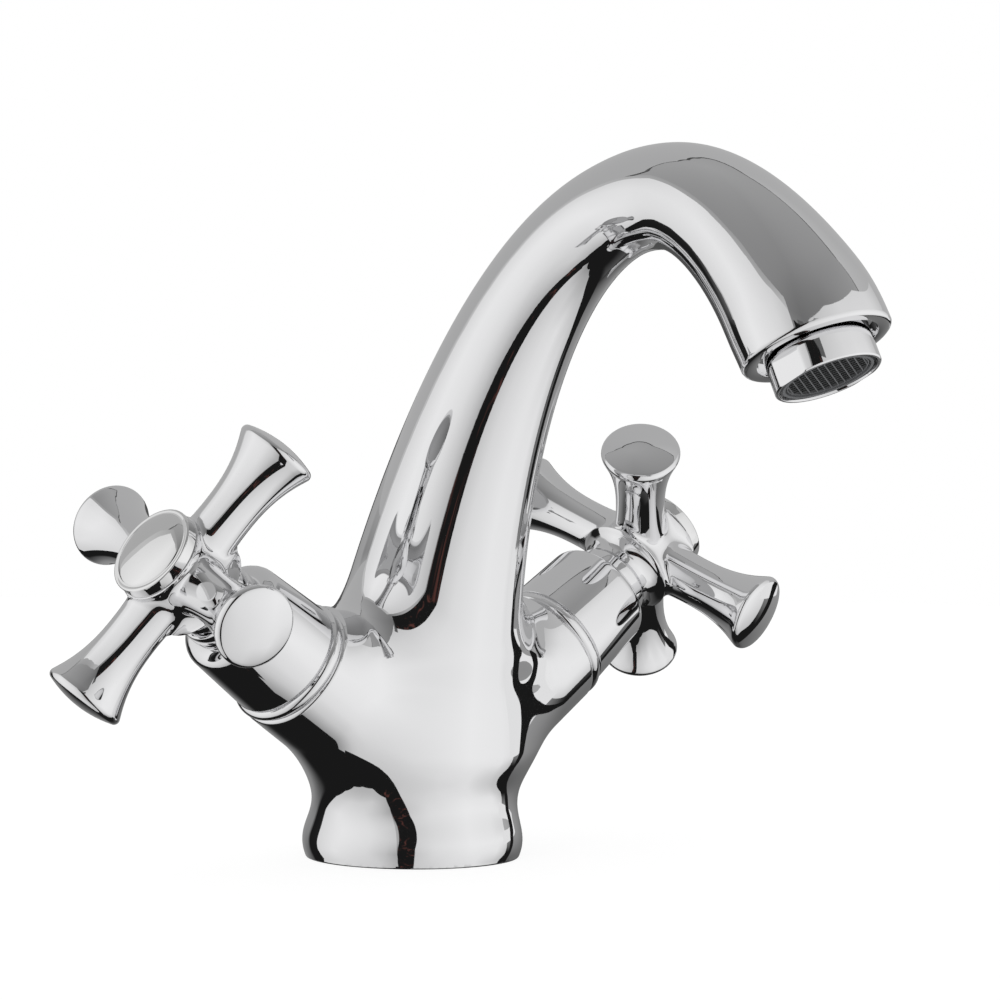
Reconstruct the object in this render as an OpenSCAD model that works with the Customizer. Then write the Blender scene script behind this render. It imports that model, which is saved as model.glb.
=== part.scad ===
/* [Foot and torso] */
// Radius of the flat ring that stands on the basin
foot_r = 24.9; // [22:0.1:28]
// How far the rounded bulge above it stands out
foot_bulge = 0.9; // [0.5:0.1:3]
// Height of the bulge's widest point
foot_bulge_z = 4.1; // [3:0.1:7]
// Radius of the waist
waist_r = 23.1; // [21:0.1:27]
// Height of the waist
waist_z = 15.4; // [12:0.1:17]
// Depth of the recess under the foot, where the hoses screw in
recess_depth = 3; // [2:0.5:6]
// Radius of that recess
recess_r = 18; // [16:0.5:20]

/* [Spout] */
// Height at which the spout's curve starts inside the torso
root_z = 27.8; // [22:0.1:32]
// How far behind the foot's centre it starts there; below zero is in front
root_back = -0.8; // [-1:0.1:1.5]
// Radius of the casting at that height
root_r = 25.3; // [21:0.1:27]
// How far forward the top of the arch lies
apex_reach = 81.4; // [75:0.1:100]
// Height of the centre line at the top of the arch
apex_z = 153.2; // [145:0.1:175]
// Length of the curve's upright handle at the root
root_pull = 54.1; // [45:0.1:75]
// Lean of that handle towards the front
root_lean = 6.5; // [0:0.1:8]
// Length of its level handle behind the apex
apex_pull_back = 45.6; // [35:0.1:55]
// Length of its level handle in front of the apex
apex_pull_front = 21.2; // [12:0.1:26]
// How far forward the centre of the spout's lip lies
tip_reach = 125.2; // [115:0.1:140]
// Height of the centre of the lip
tip_z = 121.1; // [112:0.1:135]
// Length of the curve's handle at the lip
tip_pull = 7.1; // [5:0.1:14]
// Lean of the outlet from the vertical
outlet_lean = 27.2; // [10:0.1:35]
// Radius at the thinnest place, just behind the apex
throat_r = 11.2; // [10:0.1:13]
// Place of that section along the curve, which counts 1 at the apex and 2 at the lip
throat_at = 0.9; // [0.8:0.01:1]
// How early the casting narrows from the root to there
throat_power = 1.62; // [1:0.01:2]
// Length over which it widens again, counted in the same way
flare_len = 0.87; // [0.7:0.01:1]
// How late it widens
flare_power = 1.08; // [0.8:0.01:1.5]
// Radius at the lip
lip_r = 16.9; // [15.5:0.1:18]
// Radius of the rounded edge of the lip
lip_round = 1.1; // [0.5:0.1:2]
// Radius of the waterway inside the spout
waterway_r = 7.5; // [5:0.25:8]

/* [Valve arms] */
// Slope of both valve axes above the level
valve_slope = 33.8; // [28:0.1:40]
// Height at which the two axes meet
valve_z = 20.2; // [17:0.1:23]
// How far forward of the foot's centre they meet
valve_forward = 2.6; // [0:0.1:5]
// Distance from that point to the arms' end faces
arm_end = 48.2; // [46:0.2:52]
// Radius of the arms
arm_r = 15.1; // [13.6:0.1:16]
// Width of the blend under the arms
blend_low = 12.6; // [10:0.1:22]
// Width of the blend in the valleys between arms and spout
blend_high = 17.8; // [6:0.1:20]
// Radius of the tapped hole for the valve (G 1/2)
tap_r = 10.5; // [10.3:0.05:10.8]
// Depth of that thread
tap_depth = 9; // [7:0.5:11]
// Radius of the chamber below the thread
chamber_r = 9.4; // [9:0.1:9.8]
// Distance from the axes' meeting point to the valve seat
seat_t = 31; // [30:0.5:33]
// Radius of the feed holes
feed_r = 3.5; // [2.5:0.25:4]
// Radius of the holes that lead the mixed water to the spout
mix_r = 3; // [2:0.25:3.5]
// Height of those holes
mix_z = 45; // [43:0.5:47]

/* [Connections below] */
// Radius of the tapped holes for the hoses (M10 x 1)
hose_r = 4.5; // [4.3:0.1:5]
// Depth of those threads
hose_depth = 10; // [8:0.5:13]
// Sideways place of each hose hole
hose_x = 8.5; // [7:0.5:11]
// Radius of the tapped hole for the fixing stud (M8)
stud_r = 3.4; // [2.5:0.1:4]
// Depth of that thread
stud_depth = 12; // [9:0.5:16]
// How far behind the foot's centre the stud hole lies
stud_back = 10.5; // [9:0.5:12]

/* [Sleeve] */
// Radius of the bead against the casting
bead_r = 15.1; // [14.5:0.1:16.5]
// Width of the bead
bead_w = 3; // [2:0.1:4]
// Radius of the sleeve beside the bead
sleeve_low_r = 14.3; // [13.8:0.1:15]
// Radius at its shoulder
sleeve_top_r = 13.2; // [11.5:0.1:13.5]
// Length of the sleeve with its bead
sleeve_len = 23.8; // [23:0.2:27]
// Radius of the rounded shoulder
shoulder_round = 3.3; // [1:0.1:3.5]
// Wall of the sleeve
sleeve_wall = 1.4; // [1:0.1:1.6]
// Radius of the hole in its top
sleeve_hole_r = 8.6; // [8.3:0.1:9.4]

/* [Ceramic valve] */
// Radius of the thread on the valve
thread_r = 10.4; // [10.2:0.05:10.45]
// Radius of the flange that tightens on the arm
flange_r = 12.3; // [11.8:0.1:12.5]
// Thickness of the flange
flange_t = 2; // [1.5:0.1:2.5]
// Size of the hexagon across its flats
hex_af = 19; // [17:0.5:20]
// Height of the hexagon
hex_t = 6; // [4:0.5:7]
// Radius of the gland above the hexagon
gland_r = 7.2; // [6.6:0.1:7.6]
// Distance from the arm's end face to the gland's top
gland_top = 17.8; // [16:0.2:18.5]
// Radius of the cup that holds the discs
cup_r = 8.6; // [8.4:0.05:8.9]
// Wall of that cup
cup_wall = 0.8; // [0.6:0.05:1]
// Radius of the spindle
spindle_r = 5; // [4.6:0.1:5.4]
// Radius of the spline
spline_r = 4; // [3.6:0.1:4.3]
// Number of teeth of the spline
spline_teeth = 20; // [16:4:24]
// Thickness of each ceramic disc
disc_t = 2.5; // [2:0.1:3]
// Thickness of the flat seal on the arm's end face
flat_seal_t = 1; // [0.8:0.1:1.2]
// Turn of the valve from shut to full flow
valve_turn = 180; // [90:10:180]

/* [Cross handles] */
// Distance from the sleeve's top to the hub's lower rim
hub_lift = 9.3; // [8:0.1:11]
// Distance from the handle's axis to the rims of its arms
cross_reach = 33.8; // [30:0.1:38]
// Radius of an arm at its rim
cross_rim_r = 9.5; // [7.5:0.1:10]
// Radius of an arm at its thinnest place
cross_thin_r = 5.9; // [4.6:0.1:6.4]
// Distance from the axis to that place
cross_thin_at = 16.4; // [12:0.1:18]
// Height of the domed end of an arm
cross_dome = 1.5; // [0.5:0.1:3]
// Radius of the hub at its lower rim
hub_r = 12.1; // [9.4:0.1:12.6]
// Radius of the hub at its upper rim
hub_top_r = 11; // [9.4:0.1:12]
// Radius of the hub between its rims
hub_waist_r = 8.9; // [8.6:0.1:9.2]
// Distance from the arms' plane down to the hub's lower rim
hub_down = 6.3; // [6:0.1:8.5]
// Distance from the arms' plane up to the hub's upper rim
hub_up = 7.4; // [6.6:0.1:8.5]
// Radius of the collar between sleeve and hub
collar_r = 9.6; // [8.8:0.1:10.5]
// Width of that collar
collar_w = 3.4; // [2:0.1:4.5]
// Radius of the neck that enters the sleeve
neck_r = 7.5; // [7:0.1:7.8]
// Length of the neck inside the sleeve
neck_in = 4; // [2:0.5:4.5]
// Turn of the hot handle about its axis in the photographed place
hot_handle_angle = 70.8; // [0:0.1:90]
// Turn of the cold handle in the photographed place
cold_handle_angle = 28.4; // [0:0.1:90]
// Radius of the recess under the cap
cap_recess_r = 6.8; // [6:0.1:7.4]
// Radius of the cap's rim
cap_r = 10.7; // [9.8:0.1:11.2]
// Thickness of the cap's stepped rim
cap_rim_t = 3; // [1.5:0.1:3.5]
// Height of the cap's dome
cap_dome = 1.8; // [1:0.1:3]
// Radius of the handle screw's head
screw_head_r = 3.7; // [3.2:0.1:4]
// Radius of the handle screw's shank
screw_r = 1.95; // [1.4:0.05:2]

/* [Outlet] */
// Outer radius of the aerator's housing (M24 x 1)
aerator_r = 11.9; // [11.8:0.05:12]
// How far it stands out of the lip
aerator_out = 8.1; // [7:0.2:11]
// Length of its thread inside the spout
aerator_in = 6; // [5:0.5:8]
// Wall of the housing
aerator_wall = 1.5; // [1.2:0.1:1.8]
// Distance across its two wrench flats
aerator_flats = 22.4; // [21.5:0.1:23.4]
// Radius of the groove in the lip round the housing
lip_groove_r = 13.6; // [12.6:0.1:14.4]
// Depth of that groove
lip_groove_depth = 1.6; // [1:0.1:3]
// Pitch of the openings in the mesh
mesh_pitch = 2.1; // [1.9:0.1:2.8]
// Width of the mesh's bars
mesh_bar = 0.7; // [0.5:0.1:1]
// How far the mesh lies above the housing's mouth
mesh_in = 1.6; // [1:0.1:2.4]

/* [Hidden] */
hot = -1;
cold = 1;
fine = 64;
cut = 0.01;

// Clearances in a running fit and between seated faces
running_gap = 0.05;
seat_gap = 0.02;

// The valve stack, as distances along the valve axis
cup_low = seat_t + 1.2;
seal_t = 2.4;
fixed_disc_low = seat_t + seal_t + seat_gap;
moving_disc_low = fixed_disc_low + disc_t + seat_gap;
tang_low = moving_disc_low + disc_t;
cup_inner_r = cup_r - cup_wall;
flange_low = arm_end + flat_seal_t;
hex_low = flange_low + flange_t;
gland_end = arm_end + gland_top;
drive_flange_t = 2.4;
cup_end = tang_low + drive_flange_t + running_gap;
clip_gap = 0.2;
clip_t = 0.8;
clip_groove_r = spindle_r - 0.7;
spline_low = gland_end + clip_gap + clip_t + 0.6;
sleeve_end = arm_end + sleeve_len;
neck_low = sleeve_end - neck_in;
hub_low = sleeve_end + hub_lift;
cross_t = hub_low + hub_down;
hub_end = cross_t + hub_up;
collar_low = sleeve_end + 0.5;
collar_end = collar_low + collar_w;
recess_floor = cross_t - 1.6;
spindle_end = recess_floor - 1.6;
oring_r = 0.9;
oring_places = [gland_end - 12.5, gland_end - 7];
disc_tang_w = 3;
disc_tang_t = 1;
key_w = 3;

// The foot's flat recess and the seal's groove
base_groove_r = (foot_r + recess_r) / 2;
base_seal_r = 1;

// The spout's curve: two cubic sweeps that meet level at the apex
root_point = [root_back, root_z];
apex_point = [-apex_reach, apex_z];
tip_point = [-tip_reach, tip_z];
tip_back = [sin(outlet_lean), cos(outlet_lean)];
root_way = [-sin(root_lean), cos(root_lean)];
rise = [root_point, root_point + root_pull * root_way, apex_point + [apex_pull_back, 0], apex_point];
fall = [apex_point, apex_point - [apex_pull_front, 0], tip_point + tip_pull * tip_back, tip_point];
sides = 36;
foot_steps = [0, 0.2, 0.6, 1];
rise_rings = 28;
fall_rings = 16;
waterway_sides = 12;
waterway_rings = 26;
waterway_from = 0.12;
waterway_to = 1.93;

function cubic(p, u) = pow(1 - u, 3) * p[0] + 3 * pow(1 - u, 2) * u * p[1]
    + 3 * (1 - u) * u * u * p[2] + u * u * u * p[3];
function cubic_way(p, u) = 3 * pow(1 - u, 2) * (p[1] - p[0]) + 6 * (1 - u) * u * (p[2] - p[1])
    + 3 * u * u * (p[3] - p[2]);

// A place on the spout's curve, as [back, up], for u from 0 at the root to 2 at the lip
function spine(u) = u < 1 ? cubic(rise, u) : cubic(fall, u - 1);
function spine_way(u) = let(w = u < 1 ? cubic_way(rise, u) : cubic_way(fall, u - 1)) w / norm(w);
function spout_r(u) = u < throat_at
    ? throat_r + (root_r - throat_r) * pow(1 - u / throat_at, throat_power)
    : throat_r + (lip_r - throat_r) * pow(min(1, (u - throat_at) / flare_len), flare_power);

// The foot's outline: a parabola up to the bulge, then a cosine down to the waist
function foot_outline(z) = z < foot_bulge_z
    ? foot_r + foot_bulge * (1 - pow(1 - z / foot_bulge_z, 2))
    : waist_r + (foot_r + foot_bulge - waist_r)
        * (1 + cos(180 * (z - foot_bulge_z) / (waist_z - foot_bulge_z))) / 2;

// The torso's outline, for s from 0 at the waist to 1 at the spout's root, whose taper it meets
torso_rise = root_z - waist_z;
root_taper = (root_r - throat_r) * throat_power / throat_at / (3 * root_pull);
function ease(s) = s * s * (3 - 2 * s);
function torso_outline(s) = waist_r + (root_r - waist_r) * ease(s)
    + root_taper * torso_rise * s * s * (1 - s);

// The skin runs a little under the arms' true radius and ends short of their faces,
// where the plain stubs of the arms take over
arm_skin_r = arm_r - 0.25;
arm_skin_end = arm_end - 4;
stub_low = 20;
blend_from_z = 40;
blend_rise_z = 9;
skin_steps = 60;
skin_close = 0.005;

// Distance from a point to the surface of the nearer arm
function arm_distance(p) = let(
        along = abs(p.x) * cos(valve_slope) + (p.z - valve_z) * sin(valve_slope),
        over = -abs(p.x) * sin(valve_slope) + (p.z - valve_z) * cos(valve_slope))
    max(norm([over, p.y + valve_forward]) - arm_skin_r, along - arm_skin_end);
function soft_min(a, b, k) = let(h = max(k - abs(a - b), 0) / k) min(a, b) - h * h * k / 4;
function blend_at(z) = blend_low
    + (blend_high - blend_low) * ease(min(1, max(0, (z - blend_from_z) / blend_rise_z)));

// One point of a ring of the casting: from the centre outwards until column and arm end
function ring_point(c, n, a, q) = [q * cos(a), c.x + q * sin(a) * n.x, c.y + q * sin(a) * n.y];
function outward(c, n, a, r, q, left) = let(
        p = ring_point(c, n, a, q),
        d = soft_min(q - r, arm_distance(p), blend_at(p.z)))
    left == 0 || abs(d) < skin_close ? p : outward(c, n, a, r, q - d, left - 1);
function casting_ring(c, way, r) = let(n = [way.y, -way.x])
    [for (i = [0:sides - 1]) outward(c, n, i * 360 / sides, r, r, skin_steps)];

// Faces that skin a stack of rings and close both of its ends
function skin_faces(rings, around) = concat(
    [[for (i = [0:around - 1]) i]],
    [for (k = [0:rings - 2], i = [0:around - 1], half = [0, 1]) let(
            a = k * around + i, b = k * around + (i + 1) % around)
        half == 0 ? [a, a + around, b + around] : [a, b + around, b]],
    [[for (i = [around - 1:-1:0]) (rings - 1) * around + i]]);

module at_valve(side) {
    translate([0, -valve_forward, valve_z]) rotate([0, side * (90 - valve_slope), 0]) children();
}

module at_outlet() {
    translate([0, tip_point.x, tip_point.y]) rotate([180 - outlet_lean, 0, 0]) children();
}

module spread(r, t, low) {
    translate([0, 0, low]) cylinder(r = r, h = t, $fn = fine);
}

module ring(outer, inner, t, low) {
    difference() {
        spread(outer, t, low);
        spread(inner, t + 2 * cut, low - cut);
    }
}

// A regular star of teeth, for the spline and the socket that slides on it
module spline_outline(r) {
    polygon([for (i = [0:2 * spline_teeth - 1]) let(a = i * 180 / spline_teeth)
        (r - (i % 2) * 0.45) * [cos(a), sin(a)]]);
}

module casting() {
    foot_zs = concat(
        [for (s = foot_steps) s * foot_bulge_z],
        [for (s = [1:4]) foot_bulge_z + (waist_z - foot_bulge_z) * s / 4]);
    tip = spine(2);
    foot = [for (z = foot_zs) casting_ring([0, z], [0, 1], foot_outline(z))];
    torso = [for (s = [0.25:0.25:0.75])
        casting_ring([root_back * ease(s), waist_z + torso_rise * s], [0, 1], torso_outline(s))];
    bend = [for (k = [0:rise_rings]) let(u = k / rise_rings)
        casting_ring(spine(u), spine_way(u), spout_r(u))];
    nose = [for (k = [1:fall_rings]) let(u = 1 + k / fall_rings)
        casting_ring(spine(u), spine_way(u), spout_r(u))];
    lip = [for (a = [45, 90])
        casting_ring(tip - tip_back * lip_round * sin(a), -tip_back, lip_r - lip_round * (1 - cos(a)))];
    rings = concat(foot, torso, bend, nose, lip);
    polyhedron([for (r = rings) each r], skin_faces(len(rings), sides), 10);
}

module waterway() {
    rings = [for (k = [0:waterway_rings]) let(
            u = waterway_from + (waterway_to - waterway_from) * k / waterway_rings,
            c = spine(u), n = [spine_way(u).y, -spine_way(u).x])
        [for (i = [0:waterway_sides - 1]) ring_point(c, n, i * 360 / waterway_sides, waterway_r)]];
    polyhedron([for (r = rings) each r], skin_faces(len(rings), waterway_sides), 10);
}

module valve_passages(side) {
    feed_low = 9;
    feed_top_z = valve_z + 6;
    mix_past_seat = 5;
    at_valve(side) {
        spread(tap_r, tap_depth + cut, arm_end - tap_depth);
        spread(chamber_r, arm_end - seat_t - 1, seat_t);
        spread(feed_r, seat_t - feed_low, feed_low + cut);
    }
    translate([side * hose_x, -valve_forward, recess_depth - cut]) {
        cylinder(r = hose_r, h = hose_depth + cut, $fn = fine);
        cylinder(r = feed_r, h = feed_top_z - recess_depth, $fn = fine);
    }
    // Mixed water runs level from the chamber to the foot of the spout's waterway
    mix_x = (seat_t + mix_past_seat) * cos(valve_slope) - mix_r;
    translate([0, -valve_forward, mix_z]) rotate([0, side * 90, 0])
        cylinder(r = mix_r, h = mix_x, $fn = fine);
}

module tap_body() {
    washer_room = 2;
    past_lip = 5;
    color("silver") difference() {
        union() {
            casting();
            for (side = [hot, cold]) at_valve(side) spread(arm_r, arm_end - stub_low, stub_low);
        }
        translate([0, 0, -cut]) cylinder(r = recess_r, h = recess_depth + cut, $fn = fine);
        rotate_extrude($fn = fine) translate([base_groove_r, 0]) circle(r = base_seal_r + 0.1, $fn = 32);
        translate([0, stud_back, recess_depth - cut]) cylinder(r = stud_r, h = stud_depth, $fn = fine);
        for (side = [hot, cold]) valve_passages(side);
        waterway();
        at_outlet() {
            spread(aerator_r + running_gap, aerator_in + washer_room + past_lip, -aerator_in - washer_room);
            spread(lip_groove_r, lip_groove_depth + past_lip, lip_round - lip_groove_depth);
        }
    }
}

module base_seal() {
    color("dimgray") rotate_extrude($fn = fine) intersection() {
        translate([base_groove_r, 0]) circle(r = base_seal_r, $fn = 32);
        translate([recess_r, 0]) square([foot_r, base_seal_r]);
    }
}

module sleeve(side) {
    low = arm_end + seat_gap;
    bead = bead_w / 2;
    inner_low = flange_r + 0.1;
    inner_top = sleeve_top_r - sleeve_wall;
    cone_low = low + bead_w;
    shoulder_t = sleeve_end - shoulder_round;
    color("gainsboro") at_valve(side) difference() {
        rotate_extrude($fn = fine) {
            translate([bead_r - bead, low + bead]) circle(r = bead, $fn = 32);
            translate([0, low]) square([bead_r - bead, bead_w]);
            polygon([[0, cone_low - bead], [sleeve_low_r, cone_low - bead], [sleeve_low_r, cone_low],
                [sleeve_top_r, shoulder_t], [sleeve_top_r - shoulder_round, sleeve_end], [0, sleeve_end]]);
            translate([sleeve_top_r - shoulder_round, shoulder_t]) circle(r = shoulder_round, $fn = 32);
        }
        rotate_extrude($fn = fine) polygon([[0, low - 1], [inner_low, low - 1],
            [inner_low, hex_low + 0.2], [inner_top, shoulder_t - 0.4],
            [inner_top, sleeve_end - sleeve_wall], [0, sleeve_end - sleeve_wall]]);
        spread(sleeve_hole_r, sleeve_wall + 1, sleeve_end - sleeve_wall - cut);
    }
}

// One trumpet arm, on its own axis from the hub's centre outwards
module cross_arm() {
    swell = 0.5;
    swell_at = 8;
    flare_bend = 2.4;
    rim_w = 0.4;
    rim_round = 1.3;
    rim_turn = 70;
    flare = cross_rim_r - cross_thin_r;
    out_len = cross_reach - cross_thin_at;
    rim_in_r = cross_rim_r - rim_round;
    dome_r = rim_in_r + rim_round * cos(rim_turn);
    dome_low = cross_reach + rim_w + rim_round * sin(rim_turn);
    rotate_extrude($fn = fine) polygon(concat(
        [[0, 0], [cross_thin_r + swell, 0], [cross_thin_r + swell, swell_at]],
        [for (s = [0.25:0.25:0.75]) [cross_thin_r + swell * pow(1 - s, 2),
            swell_at + (cross_thin_at - swell_at) * s]],
        [for (s = [0:0.1:0.9]) [cross_thin_r + flare * pow(s, flare_bend), cross_thin_at + out_len * s]],
        [for (a = [-20:15:rim_turn]) [rim_in_r + rim_round * cos(a),
            cross_reach + rim_w + rim_round * sin(a)]],
        [for (s = [0.2:0.2:1]) [dome_r * (1 - s), dome_low + cross_dome * (1 - pow(1 - s, 2))]]));
}

module handle(side, angle) {
    groove = 0.8;
    edge = 0.5;
    cove_r = collar_r - 0.7;
    cove_end = hub_low - 1.8;
    color("whitesmoke") at_valve(side) rotate([0, 0, angle]) difference() {
        union() {
            rotate_extrude($fn = fine) polygon([[0, neck_low], [neck_r, neck_low],
                [neck_r, collar_low], [collar_r - edge, collar_low], [collar_r, collar_low + edge],
                [collar_r, collar_end - edge], [collar_r - edge, collar_end], [cove_r - groove, collar_end],
                [cove_r - groove, collar_end + groove], [cove_r, collar_end + groove],
                [cove_r + 0.2, cove_end - 1], [cove_r + 0.9, cove_end], [hub_r - edge, hub_low - 0.4],
                [hub_r, hub_low], [hub_r - 0.2, hub_low + edge], [hub_waist_r + 0.8, hub_low + 2.4],
                [hub_waist_r, cross_t - 1], [hub_waist_r, cross_t + 1], [hub_waist_r + 0.6, hub_end - 2.6],
                [hub_top_r - 0.3, hub_end - edge], [hub_top_r, hub_end - 0.2], [hub_top_r - 0.2, hub_end],
                [0, hub_end]]);
            for (i = [0:3]) translate([0, 0, cross_t]) rotate([0, 90, i * 90]) cross_arm();
        }
        spread(cap_recess_r, hub_up + 4, recess_floor);
        spread(screw_r + 0.2, 4, spindle_end - 1);
        translate([0, 0, neck_low - 1]) linear_extrude(spindle_end - neck_low + 1.2)
            spline_outline(spline_r + 0.1);
        spread(spindle_r + 0.4, spline_low + 0.8 - neck_low + 1, neck_low - 1);
    }
}

module cap(side) {
    low = hub_end + seat_gap;
    top = low + cap_rim_t;
    edge = 0.4;
    dome_r = cap_r - 2.4;
    color("white") at_valve(side) union() {
        rotate_extrude($fn = fine) polygon(concat(
            [[0, low], [cap_r - edge, low], [cap_r, low + edge], [cap_r, top - edge],
                [cap_r - edge, top], [dome_r + 0.3, top - 0.2]],
            [for (a = [0:15:90]) [dome_r * cos(a), top - 0.2 + cap_dome * sin(a)]]));
        ring(cap_recess_r - 0.05, cap_recess_r - 1.2, 4, low - 4 + cut);
    }
}

module handle_screw(side) {
    head_t = 2.4;
    color("silver") at_valve(side) difference() {
        union() {
            spread(screw_head_r, head_t, recess_floor + seat_gap);
            spread(screw_r - 0.1, 9, recess_floor + seat_gap - 9 + cut);
        }
        translate([0, 0, recess_floor + head_t - 1.4]) cylinder(r = 1.7, h = 2, $fn = 6);
    }
}

module spindle(side, angle) {
    color("khaki") at_valve(side) difference() {
        union() {
            spread(cup_inner_r - running_gap - 0.05, drive_flange_t, tang_low + seat_gap);
            spread(spindle_r, spline_low - tang_low - 1, tang_low + 1);
            translate([0, 0, spline_low - cut]) rotate([0, 0, angle])
                linear_extrude(spindle_end - spline_low) spline_outline(spline_r);
            translate([0, 0, tang_low]) cube([2 * cup_inner_r - 2, disc_tang_w - 0.2,
                2 * (disc_tang_t - 0.1)], center = true);
        }
        ring(spindle_r + 1, clip_groove_r, clip_t + 0.1, gland_end + clip_gap - 0.05);
        for (t = oring_places) rotate_extrude($fn = fine) translate([spindle_r - oring_r, t])
            circle(r = oring_r + 0.02, $fn = 32);
        for (t = oring_places) ring(spindle_r + 1, spindle_r - oring_r, 2 * oring_r, t - oring_r);
        spread(screw_r, 9, spindle_end - 9);
    }
}

module spindle_clip(side) {
    color("goldenrod") at_valve(side) difference() {
        ring(gland_r - 0.4, clip_groove_r + 0.02, clip_t, gland_end + clip_gap);
        translate([0, -1.6, gland_end]) cube([gland_r + 2, 3.2, 3]);
    }
}

module spindle_seals(side) {
    color("black") at_valve(side) for (t = oring_places)
        rotate_extrude($fn = fine) translate([spindle_r - oring_r, t]) circle(r = oring_r, $fn = 32);
}

module valve_body(side) {
    window_w = 8;
    window_low = moving_disc_low + 0.3;
    color("goldenrod") at_valve(side) difference() {
        union() {
            spread(cup_r, arm_end - cup_low, cup_low);
            spread(thread_r, tap_depth - 1, arm_end - tap_depth + 0.6);
            spread(flange_r, flange_t, flange_low);
            spread(thread_r - 0.4, 2, arm_end - 0.5);
            translate([0, 0, hex_low - cut]) cylinder(r = hex_af / 2 / cos(30), h = hex_t, $fn = 6);
            spread(gland_r, gland_end - hex_low - hex_t + 1, hex_low + hex_t - 1);
        }
        spread(cup_inner_r, cup_end - cup_low + cut, cup_low - cut);
        spread(spindle_r + running_gap, gland_end - cup_end + 2, cup_end - 1);
        for (a = [0, 180]) rotate([0, 0, a]) translate([0, -window_w / 2, window_low])
            cube([cup_r + 1, window_w, disc_t - 0.6]);
        translate([-cup_r - 1, -key_w / 2 - 0.1, cup_low - 1])
            cube([2 * cup_r + 2, key_w + 0.2, fixed_disc_low + disc_t - cup_low + 1]);
    }
}

module flange_seal(side) {
    color("black") at_valve(side)
        ring(flange_r, thread_r + 0.15, flat_seal_t - 2 * seat_gap, arm_end + seat_gap);
}

// A curved port through a disc, centred on the given angle
module port(angle, low) {
    port_r = 2.2;
    for (a = [-45, 0, 45]) rotate([0, 0, angle + a]) translate([cup_inner_r / 2 + 0.5, 0, low - 1])
        cylinder(r = port_r, h = disc_t + 2, $fn = fine);
}

// The disc that turns: its port stands over the fixed one when the valve is fully open
module moving_disc(side) {
    color("white") at_valve(side) difference() {
        spread(cup_inner_r - 0.15, disc_t - seat_gap, moving_disc_low);
        port(90 - valve_turn, moving_disc_low);
        translate([0, 0, tang_low]) cube([3 * cup_r, disc_tang_w, 2 * disc_tang_t], center = true);
    }
}

module fixed_disc(side) {
    color("white") at_valve(side) difference() {
        union() {
            spread(cup_inner_r - 0.05, disc_t, fixed_disc_low);
            translate([-cup_r + 0.3, -key_w / 2, fixed_disc_low]) cube([2 * cup_r - 0.6, key_w, disc_t]);
        }
        port(90, fixed_disc_low);
    }
}

module seat_seal(side) {
    color("black") at_valve(side)
        ring(cup_inner_r - 0.1, feed_r + 0.8, seal_t - seat_gap, seat_t + seat_gap);
}

module aerator_housing() {
    mouth = 1.2;
    color("gainsboro") at_outlet() difference() {
        spread(aerator_r, aerator_in + aerator_out, -aerator_in);
        spread(aerator_r - aerator_wall, aerator_in + aerator_out - mouth, -aerator_in - cut);
        spread(aerator_r - aerator_wall - 0.8, 2 * mouth, aerator_out - mouth - cut);
        for (a = [0, 180]) rotate([0, 0, a]) translate([aerator_flats / 2, -aerator_r, aerator_out - 6])
            cube([aerator_r, 2 * aerator_r, 5]);
    }
}

module aerator_insert() {
    outer = aerator_r - aerator_wall - 0.1;
    mesh_t = 1;
    low = -aerator_in;
    end = aerator_out - mesh_in - mesh_t - seat_gap;
    color("gray") at_outlet() difference() {
        spread(outer, end - low, low);
        spread(outer - 1.6, end - low - 2, low + 2 + cut);
        for (ring_r = [3.2, 6.4], i = [0:ring_r * 2 - 1]) rotate([0, 0, i * 360 / floor(ring_r * 2)])
            translate([ring_r, 0, low - 1]) cylinder(r = 1.1, h = 4, $fn = 16);
    }
}

module aerator_mesh() {
    r = aerator_r - aerator_wall - 0.15;
    count = floor((r - 1.4) / mesh_pitch);
    color("dimgray") at_outlet() translate([0, 0, aerator_out - mesh_in - 1]) linear_extrude(0.8)
        difference() {
            circle(r = r, $fn = fine);
            for (i = [-count:count], j = [-count:count])
                if (norm([i, j]) * mesh_pitch < r - 1.6)
                    translate([i, j] * mesh_pitch) square(mesh_pitch - mesh_bar, center = true);
        }
}

module aerator_washer() {
    t = 1.6;
    color("black") at_outlet() ring(aerator_r - 0.1, waterway_r + 0.6, t, -aerator_in - t - seat_gap);
}

tap_body();
base_seal();
sleeve(hot);  // hot_sleeve
handle(hot, hot_handle_angle);  // hot_handle
cap(hot);  // hot_cap
handle_screw(hot);  // hot_handle_screw
spindle(hot, hot_handle_angle);  // hot_spindle
spindle_clip(hot);  // hot_spindle_clip
spindle_seals(hot);  // hot_spindle_seals
valve_body(hot);  // hot_valve_body
flange_seal(hot);  // hot_flange_seal
moving_disc(hot);  // hot_moving_disc
fixed_disc(hot);  // hot_fixed_disc
seat_seal(hot);  // hot_seat_seal
sleeve(cold);  // cold_sleeve
handle(cold, cold_handle_angle);  // cold_handle
cap(cold);  // cold_cap
handle_screw(cold);  // cold_handle_screw
spindle(cold, cold_handle_angle);  // cold_spindle
spindle_clip(cold);  // cold_spindle_clip
spindle_seals(cold);  // cold_spindle_seals
valve_body(cold);  // cold_valve_body
flange_seal(cold);  // cold_flange_seal
moving_disc(cold);  // cold_moving_disc
fixed_disc(cold);  // cold_fixed_disc
seat_seal(cold);  // cold_seat_seal
aerator_housing();
aerator_insert();
aerator_mesh();
aerator_washer();
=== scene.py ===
import math
import bmesh
import bpy
import numpy as np
from mathutils import Matrix, Vector


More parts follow.
